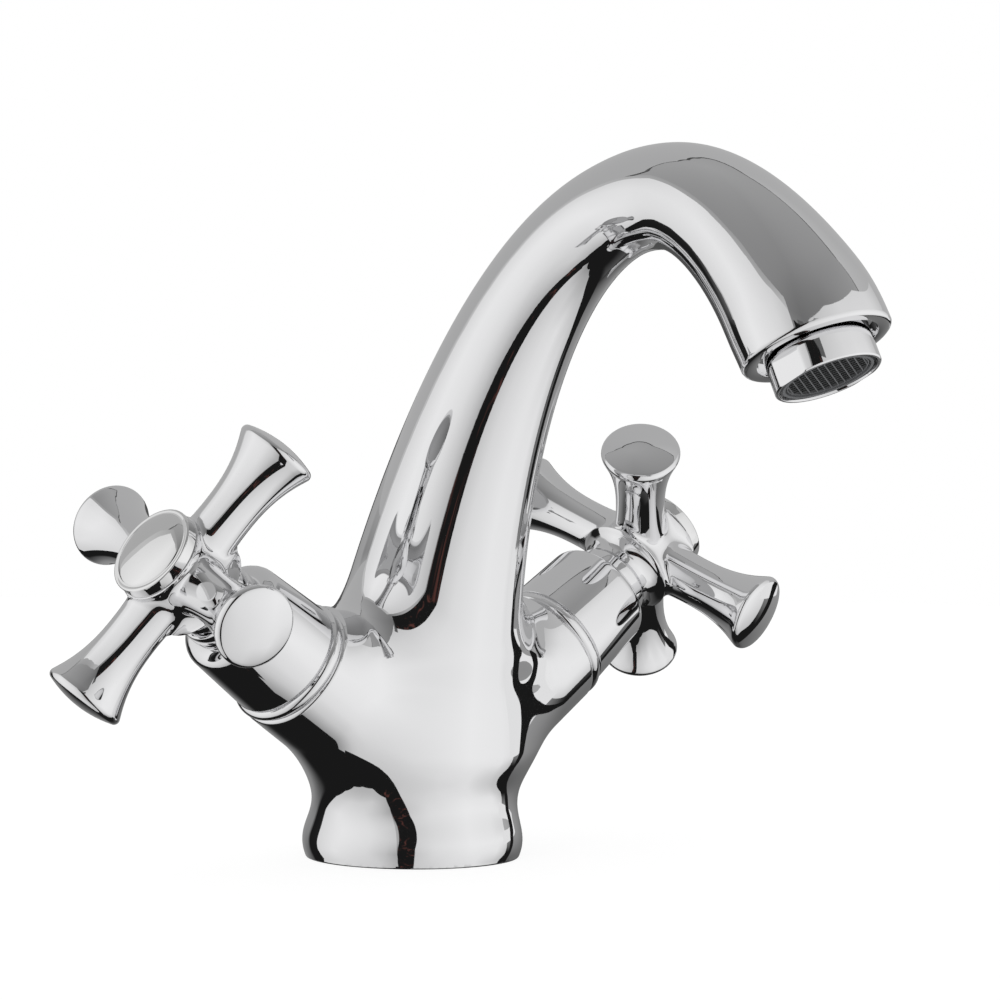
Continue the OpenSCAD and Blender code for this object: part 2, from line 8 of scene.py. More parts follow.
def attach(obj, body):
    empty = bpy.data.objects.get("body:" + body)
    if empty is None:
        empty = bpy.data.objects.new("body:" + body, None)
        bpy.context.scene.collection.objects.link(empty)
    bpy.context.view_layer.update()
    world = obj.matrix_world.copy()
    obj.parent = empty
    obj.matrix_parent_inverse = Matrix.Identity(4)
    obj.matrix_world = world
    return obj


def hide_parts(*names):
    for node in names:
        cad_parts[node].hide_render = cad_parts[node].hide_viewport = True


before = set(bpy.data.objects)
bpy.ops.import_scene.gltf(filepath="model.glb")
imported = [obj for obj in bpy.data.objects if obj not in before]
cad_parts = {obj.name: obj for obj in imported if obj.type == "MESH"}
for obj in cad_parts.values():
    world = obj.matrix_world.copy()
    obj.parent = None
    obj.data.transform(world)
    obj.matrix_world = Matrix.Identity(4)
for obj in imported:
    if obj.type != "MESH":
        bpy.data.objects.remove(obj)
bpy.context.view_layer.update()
print("frame loaded:", len(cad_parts), "CAD nodes")

mm = 0.001    # every mesh is built in millimetres and scaled to metres at its end


# Helpers for colours, materials and meshes

def linear(hexColour):
    # sRGB hex to the linear values that Blender's sockets want
    parts = [int(hexColour[i:i + 2], 16) / 255 for i in (1, 3, 5)]
    return [c / 12.92 if c <= 0.04045 else ((c + 0.055) / 1.055) ** 2.4 for c in parts] + [1.0]


def addNode(tree, kind, inputs=None, **settings):
    # a shader node with its settings; an input is a value, a socket, or a node whose first output is meant
    node = tree.nodes.new("ShaderNode" + kind)
    for key, value in settings.items():
        setattr(node, key, value)
    for key, value in (inputs or {}).items():
        if isinstance(value, bpy.types.Node):
            value = value.outputs[0]
        if isinstance(value, bpy.types.NodeSocket):
            tree.links.new(value, node.inputs[key])
        else:
            node.inputs[key].default_value = value
    return node


def newMaterial(name):
    material = bpy.data.materials.new(name)
    material.use_nodes = True
    material.node_tree.nodes.clear()
    return material, material.node_tree


def perMetre(millimetres):
    # noise and wave scale that gives a pattern this many millimetres across
    return 1.0 / (millimetres * mm)


def finishMaterial(tree, shader):
    addNode(tree, "OutputMaterial", {"Surface": shader})


def placeInScene(name, data):
    thing = bpy.data.objects.new(name, data)
    bpy.context.scene.collection.objects.link(thing)
    return thing


def meshFrom(bm, name):
    mesh = bpy.data.meshes.new(name)
    bm.to_mesh(mesh)
    bm.free()
    return mesh


def meshPiece(name, mesh, place, node, body, slot, *materials):
    # the placement goes into the mesh, so that the piece's box stays as tight as its shape
    mesh = mesh.copy()
    mesh.name = name
    mesh.transform(place)
    for material in materials:
        mesh.materials.append(material)
    piece = placeInScene(name, mesh)
    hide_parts(node)
    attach(piece, body)
    return piece


def finishMesh(bm, name, sharpAngle=34.0):
    # consistent normals, smooth shading broken only at real edges, then millimetres to metres
    bmesh.ops.recalc_face_normals(bm, faces=bm.faces)
    for face in bm.faces:
        face.smooth = True
    for edge in bm.edges:
        if edge.is_manifold and edge.calc_face_angle(0.0) > math.radians(sharpAngle):
            edge.smooth = False
    bmesh.ops.scale(bm, vec=(mm, mm, mm), verts=bm.verts)
    return meshFrom(bm, name)


def softMin(a, b, width):
    # the smaller of two distances, with a rounded valley of this width between them
    h = np.maximum(width - np.abs(a - b), 0) / width
    return np.minimum(a, b) - h * h * width / 4


def fieldSlope(field, points, reach=0.05):
    slope = np.empty_like(points)
    for axis in range(3):
        step = np.zeros(3)
        step[axis] = reach
        slope[:, axis] = (field(points + step) - field(points - step)) / (2 * reach)
    return slope


def pullOnto(field, points, rounds):
    for _ in range(rounds):
        slope = fieldSlope(field, points)
        size = np.maximum((slope ** 2).sum(1), 0.05)
        points = points - (field(points) / size)[:, None] * slope
    return points


skinning = dict(firstPull=4, relax=0.6, lastPull=2)    # rounds of pulling, and how far points even out


def voxelSkin(bm, voxel, field, relaxRounds):
    # a rough union is remeshed into even quads, which are then drawn onto the exact surface
    rough = meshFrom(bm, "rough")
    block = placeInScene("rough", rough)
    remesh = block.modifiers.new("remesh", "REMESH")
    remesh.mode = "VOXEL"
    remesh.voxel_size = voxel
    done = block.evaluated_get(bpy.context.evaluated_depsgraph_get())
    mesh = bpy.data.meshes.new_from_object(done)
    bpy.data.objects.remove(block)
    bpy.data.meshes.remove(rough)
    points = np.empty(len(mesh.vertices) * 3)
    mesh.vertices.foreach_get("co", points)
    points = pullOnto(field, points.reshape(-1, 3), skinning["firstPull"])
    edges = np.empty(len(mesh.edges) * 2, np.int64)
    mesh.edges.foreach_get("vertices", edges)
    a, b = edges.reshape(-1, 2).T
    near = np.bincount(edges, minlength=len(points))[:, None]
    for _ in range(relaxRounds):
        total = np.zeros_like(points)
        for axis in range(3):
            total[:, axis] = (np.bincount(a, points[b, axis], len(points))
                              + np.bincount(b, points[a, axis], len(points)))
        points = pullOnto(field, points + skinning["relax"] * (total / near - points), 1)
    points = pullOnto(field, points, skinning["lastPull"])
    mesh.vertices.foreach_set("co", points.ravel())
    skin = bmesh.new()
    skin.from_mesh(mesh)
    bpy.data.meshes.remove(mesh)
    return skin


cutting = dict(onPlane=0.02, merge=0.06)    # what counts as on the cut, and the shortest edge left on it


def cutAway(bm, chosen, point, outward):
    # cuts the chosen faces at a plane and returns the open loop of edges that this leaves
    # dict keys stay in order, where a set would differ from run to run
    faces = [f for f in bm.faces if chosen(f.calc_center_median())]
    parts = dict.fromkeys(part for f in faces for part in (f, *f.edges, *f.verts))
    bmesh.ops.bisect_plane(bm, geom=list(parts), dist=1e-5, plane_co=point, plane_no=outward,
                           clear_outer=True)

    def openLoop():
        return [e for e in bm.edges if e.is_boundary and chosen(e.verts[0].co)
                and abs((e.verts[0].co - point).dot(outward)) < cutting["onPlane"]]

    cutVerts = dict.fromkeys(v for e in openLoop() for v in e.verts)
    bmesh.ops.remove_doubles(bm, verts=list(cutVerts), dist=cutting["merge"])
    return openLoop()


def growLoop(bm, loop, centre, axis, steps):
    # draws an open loop on through (radius, distance along the axis) and returns its last ring
    for radius, along in steps:
        grown = bmesh.ops.extrude_edge_only(bm, edges=loop)["geom"]
        fresh = {v for v in grown if isinstance(v, bmesh.types.BMVert)}
        loop = [e for e in grown if isinstance(e, bmesh.types.BMEdge)
                and e.verts[0] in fresh and e.verts[1] in fresh]
        for v in fresh:
            offset = v.co - centre
            radial = offset - axis * offset.dot(axis)
            v.co = centre + radial.normalized() * radius + axis * along
    return loop


def ringLoop(bm, centre, axis, radius, along, sides):
    side = axis.orthogonal().normalized()
    other = axis.cross(side)
    verts = []
    for i in range(sides):
        turn = 2 * math.pi * i / sides
        verts.append(bm.verts.new(centre + axis * along
                                  + (side * math.cos(turn) + other * math.sin(turn)) * radius))
    return [bm.edges.new((verts[i], verts[(i + 1) % sides])) for i in range(sides)]


def fillFlat(bm, edges, axis):
    bmesh.ops.triangle_fill(bm, use_beauty=True, use_dissolve=False, edges=edges, normal=axis)


def roundEdge(radius, along, fillet, steps=5):
    # an outer edge at this radius, rolled over into a face at distance along
    turns = [math.pi / 2 * k / steps for k in range(1, steps + 1)]
    return [(radius - fillet * (1 - math.cos(t)), along - fillet * (1 - math.sin(t))) for t in turns]


def filletOutline(corners, steps=5):
    # (radius, height, fillet) corners to a smooth outline
    points = []
    count = len(corners)
    for i, (radius, height, fillet) in enumerate(corners):
        here = np.array([radius, height], float)
        if fillet <= 0:
            points.append(here)
            continue
        before = np.array(corners[i - 1][:2], float) - here
        after = np.array(corners[(i + 1) % count][:2], float) - here
        before /= np.linalg.norm(before)
        after /= np.linalg.norm(after)
        half = math.acos(max(-1, min(1, before @ after))) / 2
        middle = here + (before + after) / np.linalg.norm(before + after) * fillet / math.sin(half)
        start = here + before * fillet / math.tan(half) - middle
        end = here + after * fillet / math.tan(half) - middle
        sweep = math.pi - 2 * half
        for k in range(steps + 1):
            t = k / steps
            points.append(middle + (math.sin((1 - t) * sweep) * start + math.sin(t * sweep) * end)
                          / math.sin(sweep))
    return points


def turned(outline, segments=192):
    # a closed outline spun round the z axis
    bm = bmesh.new()
    verts = [bm.verts.new((p[0], 0, p[1])) for p in outline]
    edges = [bm.edges.new((verts[i - 1], verts[i])) for i in range(len(verts))]
    bmesh.ops.spin(bm, geom=verts + edges, cent=(0, 0, 0), axis=(0, 0, 1), angle=2 * math.pi,
                   steps=segments, use_merge=True)
    bmesh.ops.remove_doubles(bm, verts=bm.verts, dist=1e-4)
    bmesh.ops.delete(bm, geom=[e for e in bm.edges if not e.link_faces], context="EDGES")
    return bm


# Tap body: one polished casting of foot, torso, valve arms and swan-neck spout

casting = dict(
    footR=24.9, bulge=0.9, bulgeZ=4.1, waistR=23.1, waistZ=15.4,
    recessR=18.0, recessDepth=3.0, sealR=1.1, hoseR=4.5, hoseX=8.5, hoseDepth=10.0,
    studR=3.4, studY=10.5, studDepth=12.0,
    rootZ=27.8, rootY=-0.8, rootR=25.3, rootPull=54.1, rootLean=6.5,
    apexReach=81.4, apexZ=153.2, pullBack=45.6, pullFront=21.2,
    tipReach=125.2, tipZ=121.1, tipPull=7.1, lean=27.2,
    throatR=11.2, throatAt=0.9, throatPower=1.62, flareLen=0.87, flarePower=1.08, lipR=16.84,
    lipRound=1.1, grooveR=13.6, grooveDepth=1.6, boreR=11.95, boreDepth=8.0, waterwayR=7.5,
    slope=33.8, valveZ=20.2, valveForward=2.6, armEnd=48.2, armR=15.1, armRound=1.0,
    tapR=10.5, tapDepth=9.0, chamberR=9.4, seatAt=31.0,
    blendLow=12.6, blendHigh=17.8, blendFrom=40.0, blendRise=9.0, ridgeWidth=12.0,
    underFoot=8.0, pastLip=9.0, spacing=0.2, smoothing=3.0, smoothFrom=-2.0, smoothOver=14.0,
    voxel=0.85, relaxRounds=14, roughSides=72, roughEvery=10, fine=0.25)
slopeAngle = math.radians(casting["slope"])
leanAngle = math.radians(casting["lean"])
valveMiddle = Vector((0, -casting["valveForward"], casting["valveZ"]))
tipMiddle = Vector((0, -casting["tipReach"], casting["tipZ"]))
outletWay = Vector((0, -math.sin(leanAngle), -math.cos(leanAngle)))


def armWay(side):
    return Vector((side * math.cos(slopeAngle), 0, math.sin(slopeAngle)))


def valvePlace(side, turn=0.0):
    return (Matrix.Translation(valveMiddle * mm)
            @ Matrix.Rotation(side * (math.pi / 2 - slopeAngle), 4, "Y")
            @ Matrix.Rotation(math.radians(turn), 4, "Z"))


outletPlace = Matrix.Translation(tipMiddle * mm) @ Matrix.Rotation(math.pi - leanAngle, 4, "X")


def smoothed(values, spacing, width):
    reach = int(3 * width / spacing)
    kernel = np.exp(-0.5 * (np.arange(-reach, reach + 1) * spacing / width) ** 2)
    padded = np.concatenate([2 * values[0] - values[reach:0:-1], values,
                             2 * values[-1] - values[-2:-reach - 2:-1]])
    return np.convolve(padded, kernel / kernel.sum(), "valid")


def castingAxis(c):
    # the line of centres from under the foot to past the lip, as even steps of (y, z, radius)
    lean = math.radians(c["rootLean"])
    root = np.array([c["rootY"], c["rootZ"]])
    apex = np.array([-c["apexReach"], c["apexZ"]])
    tip = np.array([-c["tipReach"], c["tipZ"]])
    rootWay = np.array([-math.sin(lean), math.cos(lean)])
    tipBack = np.array([math.sin(leanAngle), math.cos(leanAngle)])
    curves = [(root, root + c["rootPull"] * rootWay, apex + [c["pullBack"], 0], apex),
              (apex, apex - [c["pullFront"], 0], tip + c["tipPull"] * tipBack, tip)]
    u = np.linspace(0, 1, 600)[:, None]
    bends = [(1 - u) ** 3 * p[0] + 3 * (1 - u) ** 2 * u * p[1] + 3 * (1 - u) * u * u * p[2]
             + u ** 3 * p[3] for p in curves]
    place = np.linspace(0, 2, 1199)
    narrow = np.clip(1 - place / c["throatAt"], 0, 1) ** c["throatPower"]
    widen = np.clip((place - c["throatAt"]) / c["flareLen"], 0, 1) ** c["flarePower"]
    spoutR = c["throatR"] + (c["rootR"] - c["throatR"]) * narrow + (c["lipR"] - c["throatR"]) * widen
    footZ = np.linspace(-c["underFoot"], c["waistZ"], 120)
    crest = c["footR"] + c["bulge"]
    footR = np.where(footZ < c["bulgeZ"],
                     c["footR"] + c["bulge"] * (1 - (1 - np.maximum(footZ, 0) / c["bulgeZ"]) ** 2),
                     c["waistR"] + (crest - c["waistR"])
                     * (1 + np.cos(math.pi * (footZ - c["bulgeZ"]) / (c["waistZ"] - c["bulgeZ"]))) / 2)
    t = np.linspace(0, 1, 60)[1:-1]
    span = c["rootZ"] - c["waistZ"]
    easeA, easeB = t ** 2 * (3 - 2 * t), t ** 2 * (t - 1)
    rootFall = -(c["rootR"] - c["throatR"]) * c["throatPower"] / c["throatAt"] / (3 * c["rootPull"])
    torso = np.c_[c["rootY"] * easeA - math.sin(lean) * span * easeB, c["waistZ"] + span * t]
    torsoR = c["waistR"] + (c["rootR"] - c["waistR"]) * easeA + rootFall * span * easeB
    past = tip - np.linspace(0.5, c["pastLip"], 18)[:, None] * tipBack
    line = np.concatenate([np.c_[0 * footZ, footZ], torso, bends[0], bends[1][1:], past])
    radius = np.concatenate([footR, torsoR, spoutR, np.full(len(past), c["lipR"])])
    run = np.concatenate([[0], np.cumsum(np.linalg.norm(np.diff(line, axis=0), axis=1))])
    even = np.arange(0, run[-1], c["spacing"])
    y, z, r = (np.interp(even, run, values) for values in (line[:, 0], line[:, 1], radius))
    # takes the kinks of curvature out of the polished spout, not out of the foot's bulge
    start = run[len(footZ) + len(torso)]
    ease = np.clip((even - start - c["smoothFrom"]) / c["smoothOver"], 0, 1)
    ease = ease ** 2 * (3 - 2 * ease)
    y, z, r = (v + ease * (smoothed(v, c["spacing"], c["smoothing"]) - v) for v in (y, z, r))
    return even, y, z, r


axisRun, axisY, axisZ, axisR = castingAxis(casting)
axisWayY, axisWayZ = np.gradient(axisY, axisRun), np.gradient(axisZ, axisRun)
# for each square millimetre of the middle plane, how far along the line its nearest point lies
gridY, gridZ = np.arange(-150, 36, 1.0), np.arange(-8, 176, 1.0)
nearGrid = np.empty((len(gridY), len(gridZ)))
for i, yGrid in enumerate(gridY):
    away = (yGrid - axisY[None, ::4]) ** 2 + (gridZ[:, None] - axisZ[None, ::4]) ** 2
    nearGrid[i] = axisRun[::4][away.argmin(1)]


def castingField(p):
    # the distance from the casting's skin: the swept column and two round arms, blended
    c = casting
    i = np.clip(np.rint(p[:, 1] - gridY[0]).astype(int), 0, len(gridY) - 1)
    j = np.clip(np.rint(p[:, 2] - gridZ[0]).astype(int), 0, len(gridZ) - 1)
    run = nearGrid[i, j]

    def along(values):
        return np.interp(run, axisRun, values)

    for _ in range(5):
        run = run + ((p[:, 1] - along(axisY)) * along(axisWayY)
                     + (p[:, 2] - along(axisZ)) * along(axisWayZ))
    column = np.sqrt(p[:, 0] ** 2 + (p[:, 1] - along(axisY)) ** 2
                     + (p[:, 2] - along(axisZ)) ** 2) - along(axisR)
    # the two arms mirror each other, with the ridge between them rounded at the middle
    x = np.abs(p[:, 0])
    x = np.where(x < c["ridgeWidth"], x * x / (2 * c["ridgeWidth"]) + c["ridgeWidth"] / 2, x)
    over = (p[:, 2] - c["valveZ"]) * math.cos(slopeAngle) - x * math.sin(slopeAngle)
    arm = np.hypot(over, p[:, 1] + c["valveForward"]) - c["armR"]
    v = np.clip((p[:, 2] - c["blendFrom"]) / c["blendRise"], 0, 1)
    width = c["blendLow"] + (c["blendHigh"] - c["blendLow"]) * v * v * (3 - 2 * v)
    return softMin(column, arm, width)


def castingMesh(c):
    bm = bmesh.new()
    sides = c["roughSides"]
    turns = [2 * math.pi * s / sides for s in range(sides)]
    rings = []
    for k in range(0, len(axisRun), c["roughEvery"]):
        middle = Vector((0, axisY[k], axisZ[k]))
        across = Vector((0, axisWayZ[k], -axisWayY[k])).normalized()
        rings.append([bm.verts.new(middle + (Vector((1, 0, 0)) * math.cos(turn)
                                             + across * math.sin(turn)) * axisR[k]) for turn in turns])
    for low, high in zip(rings, rings[1:]):
        for s in range(sides):
            t = (s + 1) % sides
            bm.faces.new((low[s], low[t], high[t], high[s]))
    bm.faces.new(rings[0][::-1])
    bm.faces.new(rings[-1])
    for side in (-1, 1):
        length = c["armEnd"] + 5
        place = (Matrix.Translation(valveMiddle + armWay(side) * length / 2)
                 @ Matrix.Rotation(side * (math.pi / 2 - slopeAngle), 4, "Y"))
        bmesh.ops.create_cone(bm, cap_ends=True, segments=96, radius1=c["armR"], radius2=c["armR"],
                              depth=length, matrix=place)
    bmesh.ops.recalc_face_normals(bm, faces=bm.faces)
    bm = voxelSkin(bm, c["voxel"], castingField, c["relaxRounds"])
    print("casting skin:", len(bm.verts), "points")

    # spout end: rolled lip, flat ring, groove round the aerator, bore
    loop = cutAway(bm, lambda p: p.y < -90 and p.z < 140, tipMiddle, outletWay)
    loop = growLoop(bm, loop, tipMiddle, outletWay, roundEdge(c["lipR"], c["lipRound"], c["lipRound"], 6))
    floor = c["lipRound"] - c["grooveDepth"]
    inner = ringLoop(bm, tipMiddle, outletWay, c["grooveR"] + c["fine"], c["lipRound"], 144)
    fillFlat(bm, loop + inner, outletWay)
    loop = growLoop(bm, inner, tipMiddle, outletWay,
                    [(c["grooveR"] + 0.08, c["lipRound"] - 0.07), (c["grooveR"], c["lipRound"] - c["fine"]),
                     (c["grooveR"], floor), (c["boreR"], floor), (c["boreR"], -c["boreDepth"]),
                     (c["waterwayR"], -c["boreDepth"]), (c["waterwayR"], -c["boreDepth"] - 6)])
    fillFlat(bm, loop, outletWay)

    # arm ends: flat face under the sleeve's bead, tapped hole and valve chamber
    for side in (-1, 1):
        way = armWay(side)
        face = c["armEnd"]
        loop = cutAway(bm, lambda p: p.x * side > 20 and p.z < 75,
                       valveMiddle + way * (face - c["armRound"]), way)
        loop = growLoop(bm, loop, valveMiddle, way, roundEdge(c["armR"], face, c["armRound"], 6))
        inner = ringLoop(bm, valveMiddle, way, c["tapR"], face, 128)
        fillFlat(bm, loop + inner, way)
        loop = growLoop(bm, inner, valveMiddle, way,
                        [(c["tapR"], face - c["tapDepth"]), (c["chamberR"], face - c["tapDepth"]),
                         (c["chamberR"], c["seatAt"])])
        fillFlat(bm, loop, way)

    # foot: crisp lower edge, flat ring with the seal's groove, recess with hose and stud holes
    down = Vector((0, 0, -1))
    origin = Vector((0, 0, 0))
    loop = cutAway(bm, lambda p: p.z < 8, Vector((0, 0, 0.35)), down)
    loop = growLoop(bm, loop, origin, down, [(c["footR"] + 0.02, -0.18), (c["footR"] - 0.1, -0.05),
                                             (c["footR"] - 0.3, 0)])
    grooveAt = (c["footR"] + c["recessR"]) / 2
    inner = ringLoop(bm, origin, down, grooveAt + c["sealR"], 0, 128)
    fillFlat(bm, loop + inner, down)
    halfTurn = [math.pi * k / 8 for k in range(1, 9)]
    loop = growLoop(bm, inner, origin, down,
                    [(grooveAt + c["sealR"] * math.cos(a), -c["sealR"] * math.sin(a)) for a in halfTurn]
                    + [(c["recessR"], 0), (c["recessR"], -c["recessDepth"])])
    holes = []
    for x, y, radius, depth in ((-c["hoseX"], -c["valveForward"], c["hoseR"], c["hoseDepth"]),
                                (c["hoseX"], -c["valveForward"], c["hoseR"], c["hoseDepth"]),
                                (0, c["studY"], c["studR"], c["studDepth"])):
        middle = Vector((x, y, 0))
        holes.append((ringLoop(bm, middle, down, radius, -c["recessDepth"], 48), middle, radius, depth))
    fillFlat(bm, loop + [e for hole in holes for e in hole[0]], down)
    for ring, middle, radius, depth in holes:
        end = growLoop(bm, ring, middle, down, [(radius, -c["recessDepth"] - depth)])
        fillFlat(bm, end, down)
    return finishMesh(bm, "tapCasting")


# Sleeves: turned brass, bead against the casting, slight taper and a rounded shoulder

sleeveSizes = dict(beadR=15.1, beadW=3.0, beadRound=1.35, groove=0.6, grooveW=0.5, lowR=14.3, topR=13.2,
                   length=23.8, shoulder=3.3, wall=1.4, holeR=8.6, holeEdge=0.35, innerR=12.4, seat=4.0,
                   gap=0.02)


def sleeveMesh(s):
    low = casting["armEnd"] + s["gap"]
    end = casting["armEnd"] + s["length"]
    beadEnd, grooveR = low + s["beadW"], s["lowR"] - s["groove"]
    grooveEnd, insideR = beadEnd + s["grooveW"], s["topR"] - s["wall"]
    outline = filletOutline([
        (s["innerR"], low, 0), (s["beadR"], low, s["beadRound"]), (s["beadR"], beadEnd, s["beadRound"]),
        (grooveR, beadEnd, 0.1), (grooveR, grooveEnd, 0.1), (s["lowR"], grooveEnd, 0.2),
        (s["topR"], end, s["shoulder"]), (s["holeR"], end, s["holeEdge"]), (s["holeR"], end - s["wall"], 0),
        (insideR, end - s["wall"], 0), (insideR, end - s["shoulder"] - 0.4, 0),
        (s["innerR"], low + s["seat"], 0)], 8)
    return finishMesh(turned(outline), "sleeve")


# Cross handles: hub with two rims and four trumpet arms, collars below

handleSizes = dict(
    hubDown=6.3, hubUp=7.4, hubR=12.1, topR=10.95, waistR=8.9, rimPower=2.6,
    reach=33.8, rimR=9.48, thinR=5.9, thinAt=16.4, swell=0.5, swellAt=8.0, flareBend=2.4,
    rimW=0.4, rimRound=1.3, rimTurn=70, dome=1.48, fillet=2.6,
    collarR=9.6, collarW=3.4, collarUp=0.5, groove=0.8, coveIn=0.7, neckR=7.5, neckIn=4.0, boreR=5.4,
    recessR=6.8, recessDrop=1.6, screwR=2.15, screwWall=1.4, splineR=4.1, splineUp=6.6, splineEase=1.0,
    lift=9.3, hotTurn=70.8, coldTurn=28.4, voxel=0.5, relaxRounds=10)
sleeveEnd = casting["armEnd"] + sleeveSizes["length"]
hubLow = sleeveEnd + handleSizes["lift"]
crossAt = hubLow + handleSizes["hubDown"]
hubEnd = crossAt + handleSizes["hubUp"]


def handleArmR(h, out):
    flare = h["rimR"] - h["thinR"]
    grow = np.clip((out - h["thinAt"]) / (h["reach"] - h["thinAt"]), 0, 1.01)
    near = np.clip((h["thinAt"] - out) / (h["thinAt"] - h["swellAt"]), 0, 1)
    return h["thinR"] + flare * grow ** h["flareBend"] + h["swell"] * near ** 2


def handleField(p):
    # the distance from the handle's skin: two crossed arms and a waisted hub, blended
    h = handleSizes
    x, y, z = np.abs(p[:, 0]), np.abs(p[:, 1]), p[:, 2]
    armX = np.hypot(y, z) - handleArmR(h, x)
    armY = np.hypot(x, z) - handleArmR(h, y)
    low = np.clip(-z / h["hubDown"], 0, 1.01) ** h["rimPower"] * (h["hubR"] - h["waistR"])
    high = np.clip(z / h["hubUp"], 0, 1.01) ** h["rimPower"] * (h["topR"] - h["waistR"])
    hub = np.hypot(x, y) - h["waistR"] - low - high
    return softMin(softMin(armX, armY, h["fillet"]), hub, h["fillet"])


def handleMesh(h):
    bm = bmesh.new()
    bmesh.ops.create_cone(bm, cap_ends=True, segments=64, radius1=h["hubR"] - 1.5, radius2=h["topR"] - 1,
                          depth=h["hubDown"] + h["hubUp"] + 10,
                          matrix=Matrix.Translation((0, 0, (h["hubUp"] - h["hubDown"]) / 2)))
    for turn in (0, math.pi / 2):
        bmesh.ops.create_cone(bm, cap_ends=True, segments=64, radius1=7, radius2=7,
                              depth=2 * h["reach"] + 12,
                              matrix=Matrix.Rotation(turn, 4, "Z") @ Matrix.Rotation(math.pi / 2, 4, "Y"))
    bm = voxelSkin(bm, h["voxel"], handleField, h["relaxRounds"])
    print("handle skin:", len(bm.verts), "points")
    origin = Vector((0, 0, 0))

    # trumpet ends: rolled rim, then a low dome
    rimIn, rimAt = h["rimR"] - h["rimRound"], h["reach"] + h["rimW"]

    def rimPoint(degrees):
        turn = math.radians(degrees)
        return rimIn + h["rimRound"] * math.cos(turn), rimAt + h["rimRound"] * math.sin(turn)

    domeR, domeLow = rimPoint(h["rimTurn"])
    for way in (Vector((1, 0, 0)), Vector((-1, 0, 0)), Vector((0, 1, 0)), Vector((0, -1, 0))):
        loop = cutAway(bm, lambda p: p.dot(way) > 20, way * (h["reach"] - 1.1), way)
        rim = [rimPoint(degrees) for degrees in range(-22, h["rimTurn"] + 1, 8)]
        rim += [(domeR * (1 - inward), domeLow + h["dome"] * (1 - (1 - inward) ** 2))
                for inward in (0.06, 0.13, 0.21, 0.3, 0.4, 0.5, 0.6, 0.7, 0.8, 0.9)]
        ring = ringLoop(bm, origin, way, *rim[0], 96)
        bmesh.ops.bridge_loops(bm, edges=loop + ring)
        ring = growLoop(bm, ring, origin, way, rim[1:])
        tip = bm.verts.new(way * (domeLow + h["dome"]))
        for e in ring:
            bm.faces.new((e.verts[0], e.verts[1], tip))

    # upper rim, the seat of the cap, and the bore that runs down to the neck
    up, down = Vector((0, 0, 1)), Vector((0, 0, -1))
    top, lift = h["hubUp"], h["hubDown"]
    loop = cutAway(bm, lambda p: p.z > top - 1.2 and p.xy.length < 16, up * (top - 0.35), up)
    under = cutAway(bm, lambda p: p.z < 1.2 - lift and p.xy.length < 16, down * (lift - 0.35), down)
    loop = growLoop(bm, loop, origin, up, [(h["topR"], top - 0.22), (h["topR"] - 0.03, top - 0.1),
                                           (h["topR"] - 0.16, top)])
    inner = ringLoop(bm, origin, up, h["recessR"], top, 96)
    fillFlat(bm, loop + inner, up)
    neck = -(crossAt - sleeveEnd) - h["neckIn"]
    spindleEnd = -h["recessDrop"] - h["screwWall"]
    splineLow = neck + h["splineUp"]
    loop = growLoop(bm, inner, origin, up,
                    [(h["recessR"], -h["recessDrop"]), (h["screwR"], -h["recessDrop"]),
                     (h["screwR"], spindleEnd), (h["splineR"], spindleEnd), (h["splineR"], splineLow),
                     (h["boreR"], splineLow - h["splineEase"]), (h["boreR"], neck), (h["neckR"], neck)])

    # lower rim with its cove, the two collars and the neck inside the sleeve
    collarLow = crossAt - sleeveEnd - h["collarUp"]
    collarEnd = collarLow - h["collarW"]
    coveR = h["collarR"] - h["coveIn"]
    under = growLoop(bm, under, origin, down, [
        (h["hubR"], lift - 0.12), (h["hubR"] - 0.05, lift + 0.08), (h["hubR"] - 0.3, lift + 0.3),
        (h["hubR"] - 0.9, lift + 0.55), (h["hubR"] - 1.6, lift + 0.95), (h["hubR"] - 2.2, lift + 1.5),
        (coveR + 0.45, lift + 2.2), (coveR + 0.1, lift + 3.0)])
    ring = ringLoop(bm, origin, down, coveR, lift + 3.4, 96)
    bmesh.ops.bridge_loops(bm, edges=under + ring)
    under = growLoop(bm, ring, origin, down, [
        (coveR, collarEnd - h["groove"]), (coveR - h["groove"], collarEnd - h["groove"]),
        (coveR - h["groove"], collarEnd), (h["collarR"] - 0.5, collarEnd),
        (h["collarR"] - 0.2, collarEnd + 0.1), (h["collarR"] - 0.04, collarEnd + 0.3),
        (h["collarR"], collarEnd + 0.6), (h["collarR"], collarLow - 0.6),
        (h["collarR"] - 0.04, collarLow - 0.3), (h["collarR"] - 0.2, collarLow - 0.1),
        (h["collarR"] - 0.5, collarLow), (h["neckR"], collarLow), (h["neckR"], -neck - 0.01)])
    bmesh.ops.bridge_loops(bm, edges=under + loop)
    bmesh.ops.remove_doubles(bm, verts=bm.verts, dist=0.005)
    return finishMesh(bm, "crossHandle")


# Caps: pressed plain caps, thick rim, flat ring and a low dome

capSizes = dict(rimR=10.68, rimT=3.0, edge=0.45, domeR=9.35, dome=1.8, domeDrop=0.18, domePower=1.15,
                topWall=1.2, plugR=6.75, plugWall=1.15, plugDepth=4.0, gap=0.02)


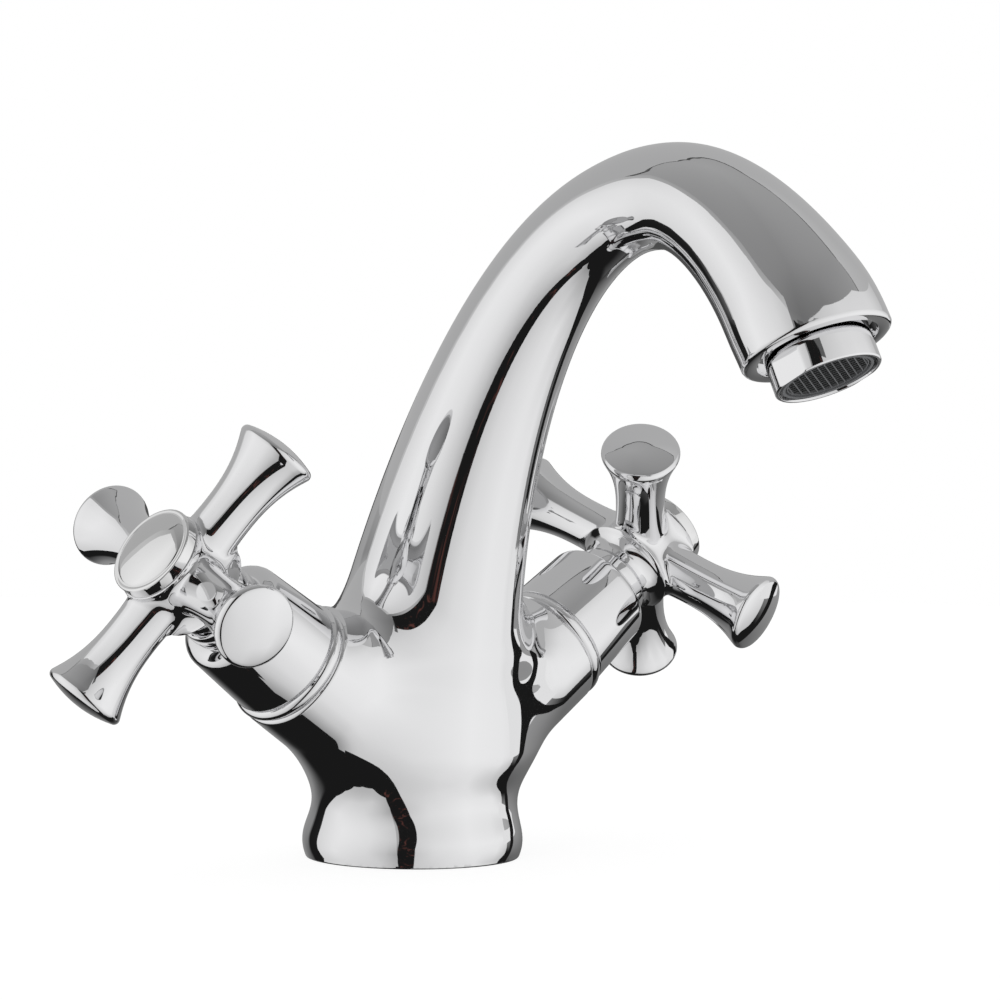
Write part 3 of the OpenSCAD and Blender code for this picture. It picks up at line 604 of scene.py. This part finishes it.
def capMesh(s):
    top, insideR = s["rimT"], s["plugR"] - s["plugWall"]
    domeLow, ceiling = top - s["domeDrop"], top - s["topWall"]
    dome = [(s["domeR"] * math.cos(a), domeLow + s["dome"] * math.sin(a) ** s["domePower"], 0)
            for a in (math.radians(d) for d in range(3, 90, 6))]
    outline = filletOutline([
        (insideR, -s["plugDepth"], 0), (s["plugR"], -s["plugDepth"], 0.2), (s["plugR"], 0, 0),
        (s["rimR"], 0, 0.3), (s["rimR"], top, s["edge"]), (s["domeR"] + 0.35, top - 0.12, 0.1)] + dome
        + [(0, domeLow + s["dome"], 0), (0, ceiling, 0), (insideR, ceiling, 0)], 6)
    bm = turned(outline)
    bmesh.ops.translate(bm, vec=(0, 0, hubEnd + s["gap"]), verts=bm.verts)
    return finishMesh(bm, "cap")


# Aerator: plated housing with two wrench flats, moulded mesh inside

aeratorSizes = dict(outerR=11.9, out=8.1, into=6.0, wall=1.5, chamfer=0.3, mouth=1.2, mouthR=10.9,
                    mouthSlope=0.25, flats=22.4, flatLow=2.1, flatEase=0.02,
                    meshIn=0.9, meshT=0.8, meshR=10.25, frameR=9.0, meshTurn=56, pitch=(1.54, 1.45),
                    bars=(0.34, 0.5), ribW=0.238, ribUp=0.25, ringRoot=0.2, ringIn=0.35, flangeT=0.2)


def housingMesh(s):
    inner, flatR = s["outerR"] - s["wall"], s["outerR"] - s["flatEase"]
    outline = filletOutline([
        (inner, -s["into"], 0), (s["outerR"], -s["into"], 0.4), (flatR, s["flatLow"] - 0.01, 0),
        (flatR, s["flatLow"], 0), (s["outerR"], (s["flatLow"] + s["out"]) / 2, 0),
        (s["outerR"], s["out"] - s["chamfer"], 0.1), (s["outerR"] - s["chamfer"], s["out"], 0.1),
        (s["mouthR"] + s["mouthSlope"], s["out"], 0.12), (s["mouthR"], s["out"] - s["mouth"], 0),
        (inner, s["out"] - s["mouth"], 0)], 5)
    bm = turned(outline, 240)
    # the two wrench flats
    half = s["flats"] / 2
    for v in bm.verts:
        if v.co.z > s["flatLow"] - 0.005 and v.co.xy.length > s["mouthR"] + s["mouthSlope"] + 0.03:
            v.co.x = max(-half, min(half, v.co.x))
    return finishMesh(bm, "aeratorHousing", 26)


def aeratorMeshMesh(s):
    # a moulded plate with rows of openings, in a darker grey that is painted shade; ribs and rings in the
    # mesh's own lighter grey stand on it
    bm = bmesh.new()
    up = Vector((0, 0, 1))
    top, step = s["out"] - s["meshIn"], s["out"] - s["mouth"]
    edges = ringLoop(bm, Vector((0, 0, 0)), up, s["meshR"], 0, 128)
    wide, tall = ((pitch - bar) / 2 for pitch, bar in zip(s["pitch"], s["bars"]))
    across, along = (int(s["frameR"] / pitch) + 1 for pitch in s["pitch"])
    for i in range(-across, across + 1):
        for j in range(-along, along + 1):
            x, y = i * s["pitch"][0], j * s["pitch"][1]
            if math.hypot(abs(x) + wide, abs(y) + tall) > s["frameR"]:
                continue
            corners = [bm.verts.new((x + a * wide, y + b * tall, 0))
                       for a, b in ((-1, -1), (1, -1), (1, 1), (-1, 1))]
            edges += [bm.edges.new((corners[k - 1], corners[k])) for k in range(4)]
    fillFlat(bm, edges, up)
    grown = bmesh.ops.extrude_face_region(bm, geom=list(bm.faces))["geom"]
    raised = [v for v in grown if isinstance(v, bmesh.types.BMVert)]
    bmesh.ops.translate(bm, vec=(0, 0, s["meshT"]), verts=raised)
    bmesh.ops.translate(bm, vec=(0, 0, top - s["meshT"]), verts=bm.verts)

    # the flange in the housing's step in the darker grey as painted shade, then two rings in the mesh's own
    # grey: (inner, outer, low, high, material)
    rings = [(s["meshR"] - 0.6, s["mouthR"] - 0.05, step + 0.02, step + s["flangeT"], 0),
             (s["frameR"] - 0.05, s["frameR"] + 0.2, top - s["ringRoot"], top + s["ribUp"], 1),
             (s["frameR"] + 0.6, s["meshR"] - 0.03, top - s["ringRoot"], s["out"] - s["ringIn"], 1)]
    for innerR, outerR, low, high, material in rings:
        ring = turned([(innerR, low), (outerR, low), (outerR, high), (innerR, high)], 128)
        for face in ring.faces:
            face.material_index = material
        ringMesh = meshFrom(ring, "ring")
        bm.from_mesh(ringMesh)
        bpy.data.meshes.remove(ringMesh)

    # thin ribs between the rows of openings
    for i in range(-across, across):
        x = (i + 0.5) * s["pitch"][0]
        if abs(x) >= s["frameR"]:
            continue
        half = math.sqrt(s["frameR"] ** 2 - x * x)
        rib = bmesh.ops.create_cube(bm, size=1, matrix=Matrix.Translation((x, 0, top))
                                    @ Matrix.Diagonal((s["ribW"], 2 * half, 2 * s["ribUp"], 1)))
        for face in {f for v in rib["verts"] for f in v.link_faces}:
            face.material_index = 1
    return finishMesh(bm, "aeratorMesh")


# Finishes

# bright chrome over polished brass, each with its own trace of how the brass was worked before:
# wave = how far apart and how high the slow swells lie, grain = the finest unevenness, all in mm
plating = dict(
    # cast and polished by hand: a deep mirror whose reflections swim a little over long swells
    chromedCasting=dict(colour="#E9E9EA", rough=(0.018, 0.04), wave=26, waveHeight=0.024, grain=0.35),
    # turned and polished on the lathe: straighter and calmer reflections
    chromedTurning=dict(colour="#E9E9EA", rough=(0.02, 0.045), wave=34, waveHeight=0.012, grain=0.3),
    # cast small and polished on a wheel: bright, with shorter swells
    chromedHandle=dict(colour="#E9E9EA", rough=(0.018, 0.04), wave=18, waveHeight=0.018, grain=0.35),
    # pressed from sheet: smooth and slightly lighter
    chromedCap=dict(colour="#EAEAEA", rough=(0.02, 0.045), wave=22, waveHeight=0.012, grain=0.3))
wipeWidth = 7


def platedBrass(name, s):
    # where wiping marks and grain meet, the mirror turns a touch softer
    material, tree = newMaterial(name)
    place = addNode(tree, "TexCoord").outputs["Object"]
    wipe = addNode(tree, "TexNoise", {"Vector": place, "Scale": perMetre(wipeWidth), "Detail": 3.0})
    grain = addNode(tree, "TexNoise", {"Vector": place, "Scale": perMetre(s["grain"]), "Detail": 1.0})
    both = addNode(tree, "Math", {0: wipe, 1: grain}, operation="MULTIPLY")
    rough = addNode(tree, "MapRange", {"Value": both, "From Min": 0.1, "From Max": 0.45,
                                       "To Min": s["rough"][0], "To Max": s["rough"][1]})
    wave = addNode(tree, "TexNoise", {"Vector": place, "Scale": perMetre(s["wave"]), "Detail": 0.0})
    bump = addNode(tree, "Bump", {"Height": wave, "Strength": 1.0, "Distance": s["waveHeight"] * mm})
    shader = addNode(tree, "BsdfPrincipled", {
        "Base Color": linear(s["colour"]), "Metallic": 1.0, "Roughness": rough, "Normal": bump})
    finishMaterial(tree, shader)
    return material


# every other surface: its finest marks and their height in mm, and slow spots between two tones
metalMarks = dict(spot=6, spotDetail=4.0, bump=0.3, height=0.02, metallic=1.0)
mouldedMarks = dict(spot=5, spotDetail=2.0, bump=0.4, metallic=0.0)
unplated = dict(
    # warm yellow with fine tool marks, for spindles and valve bodies
    turnedBrass=dict(metalMarks, dark="#B08D4A", light="#C6A566", grain=0.3, rough=0.28),
    # redder and duller than brass, for the clips
    bronzeSpring=dict(metalMarks, dark="#8F6238", light="#A97B4C", grain=0.5, rough=0.35),
    # cool pale grey with a soft sheen, for the screws
    zincPlatedSteel=dict(metalMarks, dark="#9C9DA0", light="#B9BABC", grain=0.4, rough=0.38),
    # matt black with no clear reflection, for O-rings, washers and seals
    nitrileRubber=dict(mouldedMarks, dark="#141414", light="#1F1F1E", grain=0.2, rough=0.62,
                       height=0.02, ior=1.52),
    # off-white, dense and nearly glossy after lapping, for the discs
    groundCeramic=dict(mouldedMarks, dark="#E6E4DC", light="#F1EFE9", grain=0.15, rough=0.24,
                       height=0.004, ior=1.76),
    # black with a satin sheen, for the flow insert
    mouldedAcetal=dict(mouldedMarks, dark="#1E1E1F", light="#2A2A2B", grain=0.3, rough=0.42,
                       height=0.01, ior=1.48),
    # mid grey with a satin sheen, the lattice's own tone, for its ribs and rings
    mouldedMesh=dict(mouldedMarks, dark="#5E5F61", light="#6A6B6D", grain=0.3, rough=0.36,
                     height=0.01, ior=1.48),
    # the same moulded grey made darker and duller, the darkness being painted shade, for the plate behind
    # the ribs and the flange in the step
    mouldedMeshPaintedShade=dict(mouldedMarks, dark="#323334", light="#3C3D3E", grain=0.3, rough=0.4,
                       height=0.01, ior=1.48))


def plainSurface(name, s):
    material, tree = newMaterial(name)
    place = addNode(tree, "TexCoord").outputs["Object"]
    grain = addNode(tree, "TexNoise", {"Vector": place, "Scale": perMetre(s["grain"]), "Detail": 2.0})
    spot = addNode(tree, "TexNoise", {"Vector": place, "Scale": perMetre(s["spot"]),
                                      "Detail": s["spotDetail"]})
    colour = addNode(tree, "Mix", {"Factor": spot, "A": linear(s["dark"]), "B": linear(s["light"])},
                     data_type="RGBA")
    bump = addNode(tree, "Bump", {"Height": grain, "Strength": s["bump"], "Distance": s["height"] * mm})
    shader = addNode(tree, "BsdfPrincipled", {
        "Base Color": colour.outputs[2], "Metallic": s["metallic"], "Roughness": s["rough"],
        "Normal": bump})
    if "ior" in s:    # a metal keeps Blender's own
        shader.inputs["IOR"].default_value = s["ior"]
    finishMaterial(tree, shader)
    return material


finishes = {name: platedBrass(name, sizes) for name, sizes in plating.items()}
finishes.update({name: plainSurface(name, sizes) for name, sizes in unplated.items()})

nodeFinish = dict(base_seal="nitrileRubber", aerator_insert="mouldedAcetal", aerator_washer="nitrileRubber")
valveFinish = dict(handle_screw="zincPlatedSteel", spindle="turnedBrass", spindle_clip="bronzeSpring",
                   spindle_seals="nitrileRubber", valve_body="turnedBrass", flange_seal="nitrileRubber",
                   moving_disc="groundCeramic", fixed_disc="groundCeramic", seat_seal="nitrileRubber")
for sideName in ("hot", "cold"):
    nodeFinish.update({f"{sideName}_{key}": value for key, value in valveFinish.items()})
for nodeName, finishName in nodeFinish.items():
    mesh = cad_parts[nodeName].data
    mesh.materials.clear()
    mesh.materials.append(finishes[finishName])
print("finishes made:", len(finishes))


# Pieces in place

meshPiece("tapCasting", castingMesh(casting), Matrix.Scale(1, 4), "tap_body", "tap_frame",
          "chromed_casting", finishes["chromedCasting"])
print("casting built")
sleeveData, handleData, capData = sleeveMesh(sleeveSizes), handleMesh(handleSizes), capMesh(capSizes)
for side, sideName, turn in ((-1, "hot", handleSizes["hotTurn"]), (1, "cold", handleSizes["coldTurn"])):
    onSpindle = valvePlace(side, turn)
    atCross = onSpindle @ Matrix.Translation((0, 0, crossAt * mm))
    meshPiece(sideName + "Sleeve", sleeveData, valvePlace(side), sideName + "_sleeve", "tap_frame",
              "chromed_turning", finishes["chromedTurning"])
    meshPiece(sideName + "Handle", handleData, atCross, sideName + "_handle", sideName + "_control",
              "chromed_handle", finishes["chromedHandle"])
    meshPiece(sideName + "Cap", capData, onSpindle, sideName + "_cap", sideName + "_control",
              "chromed_cap", finishes["chromedCap"])
print("sleeves, handles and caps built")
meshTurn = Matrix.Rotation(math.radians(aeratorSizes["meshTurn"]), 4, "Z")
meshPiece("aeratorHousing", housingMesh(aeratorSizes), outletPlace, "aerator_housing", "tap_frame",
          "chromed_turning", finishes["chromedTurning"])
# the plate and flange take the darker copy of the mesh's grey as painted shade, the ribs and rings its own
# grey
meshPiece("aeratorMesh", aeratorMeshMesh(aeratorSizes), outletPlace @ meshTurn, "aerator_mesh",
          "tap_frame", "grey_mesh", finishes["mouldedMeshPaintedShade"], finishes["mouldedMesh"])
print("aerator built")


# Studio: white floor and background, and a round of lit cards that only the chrome sees

studio = dict(domeR=350.0, domeZ=80.0, layerStep=4.0, cardGain=1.24,
              veinWidth=70, veinFrom=0.6, veinTo=0.72, veinColour="#4E2A24")


def toneAt(rows, azimuth, lift):
    # rows of (elevation, [(azimuth, colour), ...]), blended both ways
    values = []
    for _, stops in rows:
        colours = [linear(colour) for _, colour in stops]
        values.append([np.interp(azimuth, [stop[0] for stop in stops], [colour[k] for colour in colours])
                       for k in range(3)])
    return [float(np.interp(lift, [row[0] for row in rows], [v[k] for v in values]))
            for k in range(3)] + [1.0]


def edgeAt(edge, across):
    return float(np.interp(across, [point[0] for point in edge], [point[1] for point in edge]))


def glowMaterial(name, veined=False):
    # lit cloth in the card's own tones; the dark gap between two cloths shows a veined wall behind
    material, tree = newMaterial(name)
    colour = addNode(tree, "Attribute", attribute_name="tone").outputs["Color"]
    if veined:
        place = addNode(tree, "TexCoord").outputs["Object"]
        veins = addNode(tree, "TexNoise", {
            "Vector": place, "Scale": perMetre(studio["veinWidth"]), "Detail": 4.0, "Distortion": 1.6})
        ramp = addNode(tree, "ValToRGB", {"Fac": veins})
        stops = ((studio["veinFrom"], "#000000"), (studio["veinTo"], studio["veinColour"]))
        for element, (position, tone) in zip(ramp.color_ramp.elements, stops):
            element.position, element.color = position, linear(tone)
        colour = addNode(tree, "Mix", {"Factor": 1.0, 6: colour, 7: ramp},
                         data_type="RGBA", blend_type="ADD").outputs[2]
    glow = addNode(tree, "Emission", {"Color": colour, "Strength": studio["cardGain"]})
    finishMaterial(tree, glow)
    return material


cardGlow, gapGlow = glowMaterial("cardGlow"), glowMaterial("gapGlow", veined=True)


def onDome(layer):
    # azimuth 0 in front, 90 to the right, then elevation; each layer lies a little inside the last
    radius = studio["domeR"] - studio["layerStep"] * layer

    def place(azimuth, elevation):
        a, e = math.radians(azimuth), math.radians(elevation)
        return (math.sin(a) * math.cos(e) * radius, -math.cos(a) * math.cos(e) * radius,
                studio["domeZ"] + math.sin(e) * radius)
    return place


def onDomeSide(layer):
    # the same dome, with the card's edges given as azimuths along its height
    onFace = onDome(layer)
    return lambda elevation, azimuth: onFace(azimuth, elevation)


def studioCard(name, place, ends, low, high, rows, steps=36, levels=24, glow=cardGlow):
    # ends along the card, its low and high edges as (across, lift) points, and one tone or rows of them
    if isinstance(rows, str):
        rows = [(0, [(0, rows)])]
    verts, colours = [], []
    for i in range(steps + 1):
        across = ends[0] + (ends[1] - ends[0]) * i / steps
        lowest, highest = edgeAt(low, across), edgeAt(high, across)
        for j in range(levels + 1):
            lift = lowest + (highest - lowest) * j / levels
            verts.append(Vector(place(across, lift)) * mm)
            colours.append(toneAt(rows, across, lift))
    row = levels + 1
    faces = [(i * row + j, (i + 1) * row + j, (i + 1) * row + j + 1, i * row + j + 1)
             for i in range(steps) for j in range(levels)]
    mesh = bpy.data.meshes.new(name)
    mesh.from_pydata(verts, [], faces)
    tone = mesh.color_attributes.new(name="tone", type="FLOAT_COLOR", domain="POINT")
    tone.data.foreach_set("color", np.array(colours, np.float32).ravel())
    mesh.materials.append(glow)
    card = placeInScene(name, mesh)
    for ray in ("camera", "diffuse", "shadow", "transmission", "volume_scatter"):
        setattr(card, "visible_" + ray, False)


black = "#181818"
# the room all round: black low in front, grey low at the back, grey walls and a paler ceiling
studioCard("room", onDome(0), (-180, 180), [(0, -90)], [(0, 90)], [
    (-90, [(0, black)]),
    (-64, [(0, black)]),
    (-46, [(83, black), (90, "#484848"), (150, "#484848"), (170, black)]),
    (-26, [(-180, "#606060"), (-174, black), (83, black), (88, "#767676"), (160, "#808080"),
           (180, "#606060")]),
    (-2, [(-180, "#8A8A8A"), (-174, black), (-158, "#202020"), (-150, "#A0A0A0"), (85, "#A6A6A6"),
          (110, "#909090"), (180, "#8A8A8A")]),
    (10, [(-180, "#A0A0A0"), (180, "#A0A0A0")]),
    (32, [(-180, "#A4A4A4"), (-140, "#9A9A9A"), (-100, "#888888"), (-62, "#787878"), (-45, "#6A6A6A"),
          (-15, "#707070"), (10, "#888888"), (40, "#989898"), (180, "#A0A0A0")]),
    (50, [(-140, "#969696"), (-100, "#8A8A8A"), (-40, "#7C7C7C"), (0, "#868686"), (50, "#909090")]),
    (90, [(0, "#9C9C9C")])], steps=120, levels=60)
# the pale wall to the right, with the thin dark line where it meets the ceiling
seam = [(36, 34), (38, 46), (48, 55), (54, 63), (62, 70), (90, 74), (130, 80), (180, 81), (205, 76),
        (214, 62), (219, 52)]
seamWidth = 1.2
studioCard("wallSeam", onDome(1), (35, 221), [(0, 12)],
           [(azimuth, elevation + seamWidth) for azimuth, elevation in seam], "#484848")
studioCard("rightWall", onDome(2), (36.5, 219.5), [(0, 8)], seam, [
    (8, [(60, "#A8A8A8"), (200, "#A4A4A4")]),
    (60, [(40, "#B4B4B4"), (70, "#A8A8A8"), (200, "#A4A4A4")])], steps=60)
# the large softbox to the left, with its greyer cloth border above
studioCard("leftBorder", onDome(3), (-160, -58), [(0, 0)],
           [(-160, 12), (-151, 26), (-146, 38), (-134, 49), (-105, 49), (-85, 46), (-72, 43), (-58, 37)], [
    (0, [(0, "#B4B4B4")]), (30, [(0, "#B8B8B8")]), (49, [(-160, "#A0A0A0"), (-60, "#8C8C8C")])])
studioCard("leftSoftbox", onDome(4), (-157, -58),
           [(-157, -24), (-152, -50), (-140, -62), (-120, -69), (-97, -70), (-76, -68), (-58, -55)],
           [(-157, 10), (-147, 23), (-142, 35), (-132, 44.5), (-105, 45), (-85, 42), (-72, 39),
            (-58, 32)], [
    (-72, [(0, "#A8A8A8")]),
    (-50, [(-155, "#C4C4C4"), (-120, "#D0D0D0"), (-80, "#C8C8C8"), (-58, "#A8A8A8")]),
    (-25, [(-155, "#D0D0D0"), (-130, "#E0E0E0"), (-90, "#D4D4D4"), (-70, "#BCBCBC"), (-58, "#A0A0A0")]),
    (0, [(-155, "#D4D4D4"), (-120, "#E6E6E6"), (-85, "#DCDCDC"), (-58, "#C4C4C4")]),
    (25, [(-150, "#D4D4D4"), (-120, "#E4E4E4"), (-75, "#D4D4D4"), (-58, "#C0C0C0")]),
    (45, [(-140, "#CCCCCC"), (-115, "#DCDCDC"), (-58, "#C4C4C4")])])
# the softbox in front, and the strip of it that reaches round to the right
studioCard("frontSoftbox", onDome(4), (-48, 70),
           [(-48, -78), (20, -78), (45, -70), (60, -50), (70, -30)],
           [(-48, 29), (-37, 33), (-16, 37.5), (9, 38.5), (25, 39), (40, 36), (70, 30)], [
    (-78, [(0, "#909090")]),
    (-62, [(-40, "#C4C4C4"), (0, "#C8C8C8"), (45, "#A8A8A8")]),
    (-48, [(-42, "#C4C4C4"), (0, "#D8D8D8"), (30, "#DCDCDC"), (60, "#B4B4B4")]),
    (-25, [(-42, "#C0C0C0"), (-20, "#D6D6D6"), (20, "#E4E4E4"), (55, "#E0E0E0"), (70, "#BCBCBC")]),
    (-8, [(-42, "#C8C8C8"), (-20, "#DADADA"), (20, "#E8E8E8"), (70, "#E4E4E4")]),
    (2, [(-42, "#CACACA"), (-20, "#D8D8D8"), (20, "#E6E6E6"), (50, "#E0E0E0"), (70, "#C8C8C8")]),
    (25, [(-42, "#BCBCBC"), (-20, "#CECECE"), (20, "#E0E0E0"), (45, "#D8D8D8"), (70, "#B8B8B8")]),
    (39, [(-42, "#B0B0B0"), (0, "#D0D0D0"), (40, "#CCCCCC"), (70, "#B0B0B0")])], steps=60)
studioCard("frontTongue", onDome(5), (64, 92), [(64, -17), (92, -11)], [(64, -3), (92, -8)],
           "#DCDCDC")
# the grey top of the gap between the two softboxes
studioCard("gapPatch", onDome(6), (-50, -30), [(0, 28)], [(-50, 31), (-30, 32)], "#585858")
# the dark room past the front softbox, and greyer patches behind it
studioCard("rightDark", onDomeSide(6), (-64, -3), [(-62, 77), (-34, 77), (-20, 76), (-10, 78), (-3, 84)],
           [(-62, 81), (-30, 81), (-12, 85), (-3, 95)], black)
studioCard("rightGrey", onDome(4), (82, 126), [(0, -44)], [(0, 0)],
           [(-44, [(0, "#303030")]), (-20, [(84, "#808080"), (126, "#606060")]), (0, [(0, "#9A9A9A")])])
studioCard("backDark", onDome(4), (112, 156), [(0, -14)], [(0, 7)], "#484848")
# the dark gap between the two softboxes
studioCard("frontGap", onDomeSide(7), (-72, 30),
           [(-72, -61), (-30, -57.5), (-12, -57), (0, -55.5), (15, -54.5)],
           [(-72, -41), (-55, -41), (-12, -40), (0, -38), (15, -36)], black, glow=gapGlow)

floorSizes = dict(radius=900.0, drop=0.05, fibre=3, dark="#F6F6F6", light="#FCFCFC", paperShare=0.22,
                  ownLight=0.84)


def whitePaper(s):
    # reads as matt white paper: mostly its own white, with a soft contact shadow
    material, tree = newMaterial("whitePaper")
    fibre = addNode(tree, "TexNoise", {"Scale": perMetre(s["fibre"]), "Detail": 2.0})
    colour = addNode(tree, "Mix", {"Factor": fibre, "A": linear(s["dark"]), "B": linear(s["light"])},
                     data_type="RGBA")
    paper = addNode(tree, "BsdfDiffuse", {"Color": colour.outputs[2]})
    unlit = addNode(tree, "Emission", {"Color": linear("#000000")})
    part = addNode(tree, "MixShader", {0: s["paperShare"], 1: unlit, 2: paper})
    glow = addNode(tree, "Emission", {"Color": linear("#FFFFFF"), "Strength": s["ownLight"]})
    both = addNode(tree, "AddShader", {0: part, 1: glow})
    finishMaterial(tree, both)
    return material


def floorPiece(s):
    bm = bmesh.new()
    bmesh.ops.create_circle(bm, cap_ends=True, segments=96, radius=s["radius"] * mm)
    mesh = meshFrom(bm, "floor")
    mesh.materials.append(whitePaper(s))
    floor = placeInScene("floor", mesh)
    floor.location.z = -s["drop"] * mm
    floor.visible_glossy = False


def whiteWorld(strengthOnDiffuse=0.95):
    # plain white behind the object and in its reflections, a touch less as light
    world = bpy.data.worlds.new("whiteRoom")
    world.use_nodes = True
    tree = world.node_tree
    tree.nodes.clear()
    path = addNode(tree, "LightPath")
    seen = path.outputs["Is Camera Ray"]
    for ray in ("Is Glossy Ray", "Is Transmission Ray"):
        seen = addNode(tree, "Math", {0: seen, 1: path.outputs[ray]}, operation="MAXIMUM")
    strength = addNode(tree, "MapRange", {"Value": seen, "To Min": strengthOnDiffuse, "To Max": 1.0})
    light = addNode(tree, "Background", {"Color": linear("#FFFFFF"), "Strength": strength})
    addNode(tree, "OutputWorld", {"Surface": light})
    bpy.context.scene.world = world


floorPiece(floorSizes)
whiteWorld()
print("studio built")


# Camera, as solved from the photograph's outlines

cameraSizes = dict(azimuth=-43.874, elevation=2.554, roll=0.424, distance=1010.44, right=-20.536,
                   up=-83.363, focalPixels=4312.9, frameWidth=1000, sensorWidth=36.0, clip=(0.05, 20))


def photoCamera(s):
    a, e, roll = (math.radians(s[key]) for key in ("azimuth", "elevation", "roll"))
    back = Vector((math.sin(a) * math.cos(e), -math.cos(a) * math.cos(e), math.sin(e)))
    right = Vector((math.cos(a), math.sin(a), 0))
    up = back.cross(right)
    right, up = (right * math.cos(roll) + up * math.sin(roll),
                 up * math.cos(roll) - right * math.sin(roll))
    data = bpy.data.cameras.new("photoCamera")
    data.sensor_fit = "HORIZONTAL"
    data.sensor_width = s["sensorWidth"]
    data.lens = s["sensorWidth"] * s["focalPixels"] / s["frameWidth"]
    data.clip_start, data.clip_end = s["clip"]
    camera = placeInScene("photoCamera", data)
    place = (back * s["distance"] - right * s["right"] - up * s["up"]) * mm
    camera.matrix_world = Matrix.Translation(place) @ Matrix((right, up, back)).transposed().to_4x4()
    bpy.context.scene.camera = camera


photoCamera(cameraSizes)
bpy.context.scene.view_settings.view_transform = "Standard"
